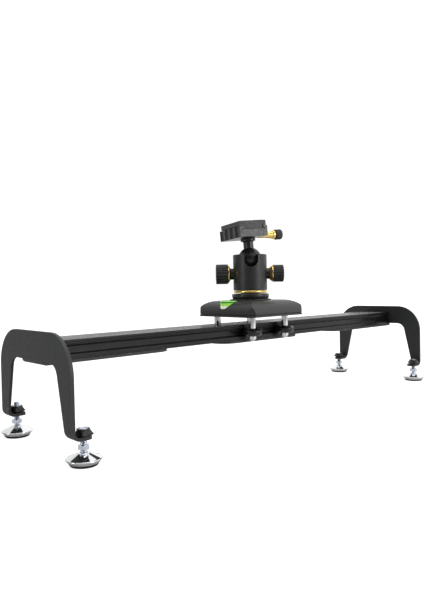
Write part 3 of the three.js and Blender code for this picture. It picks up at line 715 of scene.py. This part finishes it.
def domed_block(half, bottom, top, run):
    """A square block whose four sides roll over to a flat top, with its corners cut off."""
    steps, right = 28, []
    for i in range(steps + 1):
        a = math.pi / 2 * i / steps
        right.append((half - run + run * math.cos(a), SHOULDER + (top - SHOULDER) * math.sin(a)))
    outline = [(-half, bottom), (half, bottom)] + right + [(-u, z) for u, z in reversed(right)]
    block = overlap(prism(outline, -half, half, "X"), prism(outline, -half, half, "Y"))
    return overlap(block, prism(square_plan(half, CORNER), bottom - 1, PLATEAU + 1))


level_low, level_high = mm_box("spirit_level")
LEVEL_X, LEVEL_Y = (level_low.x + level_high.x) / 2 - CARRIAGE_X, (level_low.y + level_high.y) / 2
LEVEL_RADIUS = (level_high.x - level_low.x) / 2
POCKET_RADIUS, POCKET_FLOOR = 10.7, 121.5


def at_level(obj):
    return shifted(obj, LEVEL_X, LEVEL_Y)


def carriage_shell():
    bottom = shell_low.z
    shell = domed_block(HALF, bottom, PLATEAU, ROLL_RUN)
    hollow = domed_block(HALF - 4, bottom - 1, PLATEAU - 3.2, ROLL_RUN - 2)
    well = at_level(rod(POCKET_RADIUS + 3, POCKET_FLOOR - 3, PLATEAU, ROUND))
    hollow = cut(hollow, rod(13, bottom - 2, PLATEAU + 1, ROUND), well)
    shell = cut(shell, hollow)
    shell = cut(shell, at_level(rod(POCKET_RADIUS, POCKET_FLOOR, PLATEAU + 1, ROUND)))
    shell = cut(shell, rod(5, bottom - 1, PLATEAU + 1))
    shell = cut(shell, hexagon(14.9, bottom - 1, 120.65))
    return softened(shell, 0.45)


def carriage_base():
    half = (base_high.x - base_low.x) / 2
    slab = prism(square_plan(half, CORNER), base_low.z, base_high.z)
    for corner in CORNERS:
        low, high = mm_box(f"roller_{corner}")
        x, y = (low.x + high.x) / 2 - CARRIAGE_X, (low.y + high.y) / 2
        slab = cut(slab, shifted(rod(2.6, base_low.z - 1, base_high.z + 1), x, y))
    return softened(slab, 0.4)


def gasket():
    low, high = mm_box("carriage_gasket")
    outer = prism(square_plan((high.x - low.x) / 2, CORNER), low.z, high.z)
    return cut(outer, prism(square_plan(HALF - 4, CORNER), low.z - 1, high.z + 1))


def top_disc():
    low, high = mm_box("carriage_top_disc")
    radius, bore = (high.x - low.x) / 2, 5
    profile = [(bore, low.z), (radius - 0.25, low.z), (radius, low.z + 0.3), (radius, high.z - 0.4),
               (radius - 0.12, high.z - 0.12), (radius - 0.4, high.z), (bore, high.z)]
    return turned(profile, ROUND, ring=True)


def head_bolt():
    low, high = mm_box("head_bolt")
    shank = threaded(4.7, low.z + 3, high.z, 1.5875, 0.6, SMALL)
    return join(softened(hexagon(14.3, low.z, 120.6), 0.3), shank)


def wagon(obj):
    return shifted(obj, CARRIAGE_X)


stand_in(wagon(carriage_shell()), "carriage_shell", SATIN)
stand_in(wagon(carriage_base()), "carriage_base", SATIN)
stand_in(wagon(gasket()), "carriage_gasket", RUBBER)
stand_in(wagon(top_disc()), "carriage_top_disc", SATIN)
stand_in(wagon(head_bolt()), "head_bolt", STEEL)


def level_band(name, low, high, radius, material):
    """One ring of colour up the side of the round level; most rings are lit and shaded copies of the green liquid,
    painted highlight and painted shade.
    """
    band = turned([(0, low), (radius, low), (radius, high), (0, high)], ROUND)
    dressed(wagon(at_level(band)), name, "carriage", material)


def level_body():
    """The level's clear body, up to the rim round its window."""
    top = level_high.z
    rim = LEVEL_RADIUS
    profile = [(0, level_low.z), (rim, level_low.z), (rim, top - 0.7), (rim - 0.15, top - 0.25), (rim - 0.5, top),
               (rim - 1.6, top), (rim - 1.8, top - 0.25), (0, top - 0.25)]
    return turned(profile, ROUND)


def glowing(name, color, strength, roughness=0.15):
    """Coloured clear plastic with a painted glow: its emission stands in for light."""
    finish = Finish(name, color, roughness=roughness, coat=0.6)
    finish.drive("Base Color", finish.blend(finish.noise(5, 2), tuple(0.85 * c for c in color), color))
    finish.set("Emission Color", (*color, 1))
    finish.set("Emission Strength", strength)
    return finish.material


def round_mark(radius, width, z):
    return turned([(radius - width, z), (radius, z), (radius, z + 0.06), (radius - width, z + 0.06)], ROUND, ring=True)


def level_bubble(z):
    return turned([(0, z), (3.0, z), (3.3, z + 0.08), (3.0, z + 0.16), (0, z + 0.2)], SMALL)


stand_in(wagon(at_level(level_body())), "spirit_level", LIQUID)
SIDE = LEVEL_RADIUS + 0.04
# Level colours that glow by emission, a painted glow: a pale bubble, a painted highlight in cream, lit green, painted
# shade in deep green, and a dark amber band at the bottom.
PALE = glowing("level_pale", (0.78, 0.95, 0.55), 0.2)
LEVEL_LIT = glowing("level_lit_green", (0.42, 0.85, 0.10), 0.25)
LEVEL_SHADE = glowing("level_painted_shade", (0.05, 0.22, 0.03), 0.1)
LEVEL_HIGHLIGHT = glowing("level_painted_highlight", (0.9, 0.95, 0.82), 0.3)
AMBER = glowing("level_amber", (0.25, 0.18, 0.05), 0.05)
for name, low, high, material in (("level_band_amber", 121.9, 123.4, AMBER), ("level_band_painted_highlight", 123.4, 126.6, LEVEL_HIGHLIGHT),
                                  ("level_band_lit_green", 126.6, 129.2, LEVEL_LIT), ("level_band_painted_shade", 130.6, 131.9, LEVEL_SHADE)):
    level_band(name, low, high, SIDE, material)
MARK_Z = level_high.z - 0.24
dressed(wagon(at_level(round_mark(4.2, 0.45, MARK_Z))), "level_ring", "carriage", PLASTIC)
dressed(wagon(at_level(level_bubble(MARK_Z))), "level_bubble", "carriage", PALE)

# ---------------------------------------------------------------- rollers


def roller(low, high):
    """A barrel-shaped wheel with a bearing recess in each face."""
    radius, face, middle = 11.8, 9.4, (low + high) / 2
    half = (high - low) / 2
    corners = [
        (2.62, middle - half + 0.5),
        (4.6, middle - half + 0.5),
        (4.7, middle - half + 0.9),
        (6.6, middle - half + 0.9),
        (6.7, middle - half),
        (face, middle - half, 0.4),
        (10.6, middle - 3.4, 0.8),
        (radius, middle - 2, 1.2),
        (radius, middle + 2, 1.2),
        (10.6, middle + 3.4, 0.8),
        (face, middle + half, 0.4),
        (6.7, middle + half),
        (6.6, middle + half - 0.9),
        (4.7, middle + half - 0.9),
        (4.6, middle + half - 0.5),
        (2.62, middle + half - 0.5),
    ]
    return turned([tuple(p) for p in rounded(corners)], ROUND, ring=True)


def bearing_shield(z):
    """A steel ring that shows in the recess of a roller's face."""
    return turned([(4.75, z - 0.2), (6.55, z - 0.2), (6.55, z + 0.1), (6.2, z + 0.2), (5.1, z + 0.2), (4.75, z + 0.1)],
                  SMALL, ring=True)


def roller_bolt(low, high, roller_top):
    """Bolt, head and spacer sleeve, with the thread showing below the nut."""
    base, top = base_low.z - 0.05, base_high.z + 0.05
    sleeve = [(0, low + 5), (2.45, low + 5), (2.5, roller_top + 0.3), (3.9, roller_top + 0.3), (4.3, roller_top + 0.7),
              (4.3, base - 0.3), (4.1, base), (2.5, base), (2.5, top), (4.3, top), (4.3, high - 0.4), (3.9, high),
              (0, high)]
    return join(turned(sleeve, SMALL), threaded(2.48, low, low + 6, 0.8, 0.3))


def lock_nut(low, high):
    """A hex nut with a round nylon collar below."""
    collar = low + 1.6
    nut = join(hex_nut(8, collar, high, 2.6), turned([
        (2.6, low), (3.2, low), (3.7, low + 0.5), (3.8, collar + 0.3), (2.6, collar + 0.3)], SMALL, ring=True))
    return nut


for corner in CORNERS:
    low, high = mm_box(f"roller_{corner}")
    x, y = (low.x + high.x) / 2, (low.y + high.y) / 2
    stand_in(shifted(roller(low.z, high.z), x, y), f"roller_{corner}", ROLLER_BLACK)
    for side, z in (("top", high.z - 0.75), ("bottom", low.z + 0.75)):
        shield = shifted(bearing_shield(z), x, y)
        dressed(shield, f"roller_shield_{side}_{corner}", f"roller_{corner}", STEEL)
    roller_top = high.z
    low, high = mm_box(f"roller_bolt_{corner}")
    stand_in(shifted(roller_bolt(low.z, high.z, roller_top), x, y), f"roller_bolt_{corner}", CHROME)
    low, high = mm_box(f"roller_nut_{corner}")
    stand_in(shifted(lock_nut(low.z, high.z), x, y), f"roller_nut_{corner}", CHROME)

# ---------------------------------------------------------------- ball head

HEAD_YAW, CLAMP_YAW, LEAN = -131.0, -17.4, 4.5
LOCK_Z = 166.5
BALL_Z, BALL_RADIUS = 185.5, 15.0
HOUSING_LOW, HOUSING_HIGH = (corner.z for corner in mm_box("ball_housing"))
HOUSING_RADIUS = 21.6


def on_head(obj):
    """From the head's own frame, with the notch along +X, to the slider's."""
    return wagon(spun(obj, HEAD_YAW))


def leaning(obj):
    """Tips a shape in the head's frame over with the ball, about the ball's centre."""
    shifted(obj, z=-BALL_Z)
    spun(obj, LEAN, "X")
    return on_head(shifted(obj, z=BALL_Z))


def pan_base():
    low, high = mm_box("pan_base")
    radius, rim, bore = (high.x - low.x) / 2, 141.2, 5
    corners = [
        (0, 148.5),
        (bore, 148.5),
        (bore, low.z),
        (radius - 1.2, low.z, 0.3),
        (radius, low.z + 3, 2.2),
        (radius, rim, 1.3),
        (radius - 2.6, rim, 0.2),
        (12, rim),
        (12, high.z),
        (0, high.z),
    ]
    return turned([tuple(p) for p in rounded(corners)], ROUND)


def trim_ring():
    low, high = mm_box("pan_trim_ring")
    radius, bore, bulge, steps = 21.9, 12.3, 1.1, 12
    middle, half = (low.z + high.z) / 2, (high.z - low.z) / 2
    rings = [(bore, low.z)]
    for i in range(steps + 1):
        a = math.pi * (i / steps - 0.5)
        rings.append((radius - bulge + bulge * math.cos(a), middle + half * math.sin(a)))
    return turned(rings + [(bore, high.z)], ROUND, ring=True)


def ball_housing():
    low, high, radius = HOUSING_LOW, HOUSING_HIGH, HOUSING_RADIUS
    corners = [(0, low), (radius, low, 0.5), (radius, high, 1.1), (0, high)]
    body = turned([tuple(p) for p in rounded(corners)], ROUND)
    steps = 36
    socket = turned([(15.3 * math.sin(math.pi * i / steps), BALL_Z - 15.3 * math.cos(math.pi * i / steps))
                     for i in range(steps + 1)], ROUND)
    notch_half, notch_z = 8.6, 183.6
    slot = rounded([
        (-notch_half, notch_z - notch_half, notch_half - 0.01),
        (notch_half, notch_z - notch_half, notch_half - 0.01),
        (notch_half, high + 1),
        (-notch_half, high + 1),
    ])
    body = cut(body, socket, rod(12.3, low - 1, 153.5, ROUND), prism(slot, 0, radius + 1, "X"))
    bore = shifted(spun(rod(3.8, -radius - 1, radius + 1), 90, "X"), z=LOCK_Z)
    body = cut(body, bore)
    for side in (-1, 1):
        spot = rod(9.2, radius - 1.8, radius + 2, ROUND)
        body = cut(body, shifted(spun(spot, -90 * side, "X"), z=LOCK_Z))
    return softened(body, 0.45, 3, 35)


def ball_stem():
    stem, collar, low, high, spigot = 6.5, 9.5, 207.4, 211.6, 3.9
    neck = math.sqrt(BALL_RADIUS ** 2 - stem ** 2)
    foot = math.degrees(math.asin(stem / BALL_RADIUS))
    steps = 40
    profile = []
    for i in range(steps + 1):
        a = math.radians((180 - foot) * i / steps)
        profile.append((BALL_RADIUS * math.sin(a), BALL_Z - BALL_RADIUS * math.cos(a)))
    upper = [(stem, BALL_Z + neck + 0.3), (stem, low - 0.2, 0.5), (collar, low + 1.0, 0.8), (collar, high, 0.7),
             (spigot, high), (spigot, 214.9), (0, 214.9)]
    corners = [tuple(p) for p in profile] + upper
    return turned([tuple(p) for p in rounded(corners)], ROUND)


def fluted(radius, low, high, flutes, depth, edge, dish=0.0):
    """A grip with grooves along it, rounded edges and a shallow dish in its outer face."""
    def grooved(shrink, share):
        def at(angle):
            wave = 0.5 + 0.5 * math.cos(flutes * angle)
            return radius - shrink - depth * share * wave ** 2.2
        return at

    steps = 5
    rings = [(0, low)]
    ends = []
    for i in range(steps + 1):
        a = math.pi / 2 * i / steps
        ends.append((edge * (1 - math.sin(a)), edge * (1 - math.cos(a)), i / steps))
    for shrink, rise, share in ends:
        rings.append((grooved(shrink, share), low + rise))
    for shrink, rise, share in reversed(ends):
        rings.append((grooved(shrink, share), high - rise))
    if dish:
        rings += [(radius * 0.72, high), (radius * 0.66, high - dish), (0, high - dish)]
    else:
        rings.append((0, high))
    return turned(rings, flutes * 12)


def lock_knob(radius, start, end, neck):
    screw = rounded([(0, 5), (3.5, 5, 0.5), (3.5, 20.4), (neck, 20.4), (neck, start + 1), (0, start + 1)])
    return join(turned([tuple(p) for p in screw], SMALL), fluted(radius, start, end, 20, 0.8, 0.9, 0.5))


def lock_collar(neck, ring_start, small, large, start):
    bore = neck + 0.3
    corners = [(bore, ring_start), (small, ring_start, 0.3), (large, start - 1.2, 0.4), (large, start - 0.05, 0.3),
               (bore, start - 0.05)]
    return turned([tuple(p) for p in rounded(corners)], ROUND, ring=True)


def on_lock(obj, side):
    return on_head(shifted(spun(obj, -90 * side, "X"), z=LOCK_Z))


stand_in(wagon(pan_base()), "pan_base", TURNED_BLACK)
stand_in(on_head(trim_ring()), "pan_trim_ring", GOLD)
stand_in(on_head(ball_housing()), "ball_housing", HEAD_SATIN)
stand_in(leaning(ball_stem()), "ball_stem", TURNED_BLACK)
stand_in(on_lock(lock_knob(12.7, 28.4, 43.8, 7.2), -1), "main_lock_knob", PLASTIC)
stand_in(on_lock(lock_collar(7.2, 25.2, 8.0, 11.3, 28.4), -1), "main_lock_knob_collar", GOLD)
stand_in(on_lock(lock_knob(11, 29.2, 42.6, 7), 1), "pan_lock_knob", PLASTIC)
stand_in(on_lock(lock_collar(7, 24.8, 7.8, 10.4, 29.2), 1), "pan_lock_knob_collar", GOLD)

# ---------------------------------------------------------------- quick-release clamp

CLAMP_LOW, CLAMP_HIGH, CLAMP_OFFSET = 211.9, 225.4, -5.2
CLAMP_HALF, CLAMP_LENGTH, SPLIT = 20.0, 28.0, 13.5
CHANNEL_FLOOR, DOVE_FOOT, DOVE_NECK, DOVE_RISE = 221.0, 17.0, 14.0, 3.0
CLAMP_KNOB_Z = 214.7
RELEASE_TOP = 232.4


def on_clamp(obj):
    """From the clamp's own frame, with its knob along +X, to the slider's."""
    return leaning(spun(shifted(obj, CLAMP_OFFSET), CLAMP_YAW - HEAD_YAW))


def on_clamp_screw(obj):
    return on_clamp(shifted(spun(obj, 90, "Y"), z=CLAMP_KNOB_Z))


def clamp_plan():
    """Plan of the fixed side: four shallow scallops along its edge give a grip."""
    scallops, steps, depth = 4, 14, 1.6
    width = 2 * CLAMP_LENGTH / scallops
    grip = []
    for i in range(scallops * steps + 1):
        hollow = abs(math.sin(math.pi * i / steps))
        grip.append((-CLAMP_HALF + depth * hollow, CLAMP_LENGTH - i * width / steps))
    return rounded([(SPLIT, -CLAMP_LENGTH, 1), (SPLIT, CLAMP_LENGTH, 1)] + grip)


def clamp_body():
    channel = [
        (-DOVE_FOOT, CHANNEL_FLOOR),
        (SPLIT + 1, CHANNEL_FLOOR),
        (SPLIT + 1, CLAMP_HIGH + 1),
        (-DOVE_NECK, CLAMP_HIGH + 1),
        (-DOVE_NECK, CHANNEL_FLOOR + DOVE_RISE),
    ]
    body = cut(
        prism(clamp_plan(), CLAMP_LOW, CLAMP_HIGH),
        prism(channel, -CLAMP_LENGTH - 1, CLAMP_LENGTH + 1, "Y"),
        shifted(rod(4.2, CLAMP_LOW - 1, CLAMP_LOW + 3.3), -CLAMP_OFFSET),
        shifted(spun(rod(2.3, 9.8, SPLIT + 10), 90, "Y"), z=CLAMP_KNOB_Z),
    )
    return softened(body, 0.5, 2, 40)


def clamp_jaw():
    inner = SPLIT + 0.3
    section = rounded([
        (inner, CLAMP_LOW + 0.2),
        (CLAMP_HALF, CLAMP_LOW + 0.2, 0.8),
        (CLAMP_HALF, CLAMP_HIGH, 1),
        (DOVE_NECK + 0.3, CLAMP_HIGH),
        (DOVE_NECK + 0.3, CHANNEL_FLOOR + DOVE_RISE),
        (DOVE_FOOT + 0.3, CHANNEL_FLOOR),
        (inner, CHANNEL_FLOOR),
    ])
    length = CLAMP_LENGTH - 2
    jaw = prism(section, -length, length, "Y")
    jaw = cut(jaw, shifted(spun(rod(2.3, 0, 2 * CLAMP_HALF), 90, "Y"), z=CLAMP_KNOB_Z))
    return softened(jaw, 0.4)


def clamp_knob():
    screw = turned([(0, 10.4), (1.7, 10.4), (2, 10.7), (2, 46.3), (0, 46.3)], SMALL)
    return join(screw, fluted(6.7, 45.3, 54.7, 16, 0.5, 1.0, 0.4))


def clamp_cone():
    bore, start, end = 2.05, 20.3, 45.25
    corners = [(bore, start), (3.2, start), (3.6, 31, 8), (4.8, 41.2), (5.6, 41.5, 0.3), (5.6, 44.3, 0.4), (4.8, end),
               (bore, end)]
    return turned([tuple(p) for p in rounded(corners)], SMALL, ring=True)


def release_plate():
    gap = 0.3
    half, length, shoulder, top = 19.0, 25.0, 225.8, RELEASE_TOP
    section = rounded([
        (-DOVE_FOOT + 2 * gap, CHANNEL_FLOOR + gap, 0.3),
        (DOVE_FOOT - 2 * gap, CHANNEL_FLOOR + gap, 0.3),
        (DOVE_NECK - gap, CHANNEL_FLOOR + DOVE_RISE + gap),
        (DOVE_NECK - gap, shoulder),
        (half, shoulder),
        (half, top - 0.5, 0.5),
        (-half, top - 0.5, 0.5),
        (-half, shoulder),
        (-DOVE_NECK + gap, shoulder),
        (-DOVE_NECK + gap, CHANNEL_FLOOR + DOVE_RISE + gap),
    ])
    plate = cut(
        prism(section, -length, length, "Y"),
        rod(3.4, CHANNEL_FLOOR - 1, top + 1),
        rod(8.3, CHANNEL_FLOOR - 1, CHANNEL_FLOOR + 3.8),
    )
    return softened(plate, 0.35)


def grip_pad():
    """Two ribbed rubber strips on the plate, either side of the screw."""
    top = RELEASE_TOP
    base, ridge = top - 0.6, 1.6
    pad = None
    for side in (-1, 1):
        near, far = 6.5, 23.5
        outline = rounded([(-16.5, near, 1), (16.5, near, 1), (16.5, far, 1), (-16.5, far, 1)])
        strip = prism(outline, base, top - 0.15)
        for i in range(10):
            y = near + 0.9 + i * ridge
            strip = join(strip, prism([(-16, y), (16, y), (16, y + 0.8), (-16, y + 0.8)], top - 0.3, top))
        if side < 0:
            spun(strip, 180)
        pad = strip if pad is None else (pad, strip)
    return pad


def camera_screw():
    low, high = CHANNEL_FLOOR + 0.3, RELEASE_TOP - 0.4
    head = turned([(0, low), (7.6, low), (8, low + 0.4), (8, low + 2.8), (7.6, low + 3.2), (0, low + 3.2)], SMALL)
    screw = join(head, threaded(3.1, low + 3, high, 1.27, 0.5, SMALL))
    return cut(screw, box_solid((-0.8, -9, low - 1), (0.8, 9, low + 1.4)))


stand_in(on_clamp(clamp_body()), "clamp_body", TURNED_BLACK)
stand_in(on_clamp(clamp_jaw()), "clamp_jaw", TURNED_BLACK)
stand_in(on_clamp_screw(clamp_knob()), "clamp_knob", PLASTIC)
stand_in(on_clamp_screw(clamp_cone()), "clamp_knob_cone", GOLD)
stand_in(on_clamp(release_plate()), "release_plate", SATIN)
stand_in(on_clamp(camera_screw()), "camera_screw", STEEL)
for name, strip in zip(("grip_pad_rear", "grip_pad_front"), grip_pad()):
    dressed(on_clamp(strip), name, "release_plate", RUBBER)

# ---------------------------------------------------------------- stage, light and camera


def stage_floor():
    radius = 12
    floor = turned([(0, 0), (radius, 0)], ROUND)
    floor.name = "floor"
    paper = Finish("floor_paper", (0.42, 0.42, 0.42), roughness=0.8, specular=0.1)
    distance = paper.nodes.new("ShaderNodeVectorMath")
    distance.operation = "LENGTH"
    paper.links.new(paper.place, distance.inputs[0])
    paper.set("Emission Color", (1, 1, 1, 1))
    white = paper.span(distance.outputs["Value"], 0.8, 1.1, 0.6, 2.5)
    behind = paper.nodes.new("ShaderNodeVectorMath")
    behind.operation = "DOT_PRODUCT"
    behind.inputs[1].default_value = (0.9, 0.43, 0)
    paper.links.new(paper.place, behind.inputs[0])
    reflected = paper.span(behind.outputs["Value"], 0.04, 0.5, -0.4, 1.4)
    camera_ray = paper.nodes.new("ShaderNodeLightPath").outputs["Is Camera Ray"]
    seen = paper.math("MULTIPLY", camera_ray, white)
    hidden = paper.math("MULTIPLY", paper.math("SUBTRACT", 1.0, camera_ray), reflected)
    paper.drive("Emission Strength", paper.math("ADD", seen, hidden))
    paper.bump(paper.noise(1.5), 0.02)
    floor.data.materials.append(paper.material)


def area_light(name, location, target, size, power, in_reflections=True):
    data = bpy.data.lights.new(name, "AREA")
    data.shape = "RECTANGLE"
    data.size, data.size_y = size
    data.energy = power
    light = bpy.data.objects.new(name, data)
    bpy.context.scene.collection.objects.link(light)
    light.location = location
    light.rotation_mode = "QUATERNION"
    light.rotation_quaternion = (Vector(target) - Vector(location)).to_track_quat("-Z", "Y")
    light.visible_glossy = in_reflections


def studio_world():
    """White to the camera. In reflections it is brighter on the right, and dark behind the camera."""
    world = bpy.data.worlds.new("studio")
    bpy.context.scene.world = world
    world.use_nodes = True
    nodes, links = world.node_tree.nodes, world.node_tree.links
    backdrop = nodes["Background"]
    backdrop.inputs["Color"].default_value = (1, 1, 1, 1)
    backdrop.inputs["Strength"].default_value = 1.05
    coordinates = nodes.new("ShaderNodeTexCoord")
    lean = nodes.new("ShaderNodeVectorMath")
    lean.operation = "DOT_PRODUCT"
    lean.inputs[1].default_value = (0.88, 0.25, 0.4)
    level = nodes.new("ShaderNodeMapRange")
    for socket, value in (("From Min", -0.7), ("From Max", 0.9), ("To Min", 0.1), ("To Max", 1.5)):
        level.inputs[socket].default_value = value
    glow = nodes.new("ShaderNodeBackground")
    path = nodes.new("ShaderNodeLightPath")
    chooser = nodes.new("ShaderNodeMixShader")
    links.new(coordinates.outputs["Generated"], lean.inputs[0])
    links.new(lean.outputs["Value"], level.inputs["Value"])
    camera_side = nodes.new("ShaderNodeVectorMath")
    camera_side.operation = "DOT_PRODUCT"
    camera_side.inputs[1].default_value = (-0.675, -0.738, 0)
    card = nodes.new("ShaderNodeMapRange")
    for socket, value in (("From Min", 0.8), ("From Max", 0.96), ("To Min", 1), ("To Max", 0.06)):
        card.inputs[socket].default_value = value
    shade = nodes.new("ShaderNodeMath")
    shade.operation = "MULTIPLY"
    links.new(coordinates.outputs["Generated"], camera_side.inputs[0])
    links.new(camera_side.outputs["Value"], card.inputs["Value"])
    links.new(level.outputs["Result"], shade.inputs[0])
    links.new(card.outputs["Result"], shade.inputs[1])
    links.new(shade.outputs["Value"], glow.inputs["Strength"])
    links.new(path.outputs["Is Camera Ray"], chooser.inputs["Fac"])
    links.new(glow.outputs["Background"], chooser.inputs[1])
    links.new(backdrop.outputs["Background"], chooser.inputs[2])
    links.new(chooser.outputs["Shader"], nodes["World Output"].inputs["Surface"])


def studio_camera():
    """A camera just above the slider's end, turned along the rail and rolled a little."""
    yaw, pitch, roll = (math.radians(a) for a in (47.552, -1.414, -1.174))
    forward = Vector((math.cos(yaw) * math.cos(pitch), math.sin(yaw) * math.cos(pitch), math.sin(pitch)))
    right = Vector((math.sin(yaw), -math.cos(yaw), 0))
    up = right.cross(forward)
    rolled_right = math.cos(roll) * right + math.sin(roll) * up
    rolled_up = -math.sin(roll) * right + math.cos(roll) * up
    data = bpy.data.cameras.new("camera")
    data.sensor_width = 36
    data.lens = 33.72
    data.clip_start = 0.02
    data.clip_end = 60
    camera = bpy.data.objects.new("camera", data)
    bpy.context.scene.collection.objects.link(camera)
    turn = Matrix((rolled_right, rolled_up, -forward)).transposed().to_4x4()
    camera.matrix_world = Matrix.Translation((-0.528156, -0.500033, 0.151657)) @ turn
    bpy.context.scene.camera = camera


stage_floor()
area_light("overhead", (-0.3, -0.2, 2.0), (0, 0, 0.1), (2.0, 2.0), 15)
area_light("right_box", (1.0, -1.6, 0.8), (0, 0, 0.12), (0.9, 1.2), 12, False)
area_light("right_strip", (0.45, -1.75, 0.55), (0, 0, 0.17), (0.7, 0.8), 8)
area_light("left_strip", (-1.75, 0.2, 0.5), (0, 0, 0.17), (0.45, 0.7), 5)
studio_world()
studio_camera()
bpy.context.scene.view_settings.view_transform = "Standard"
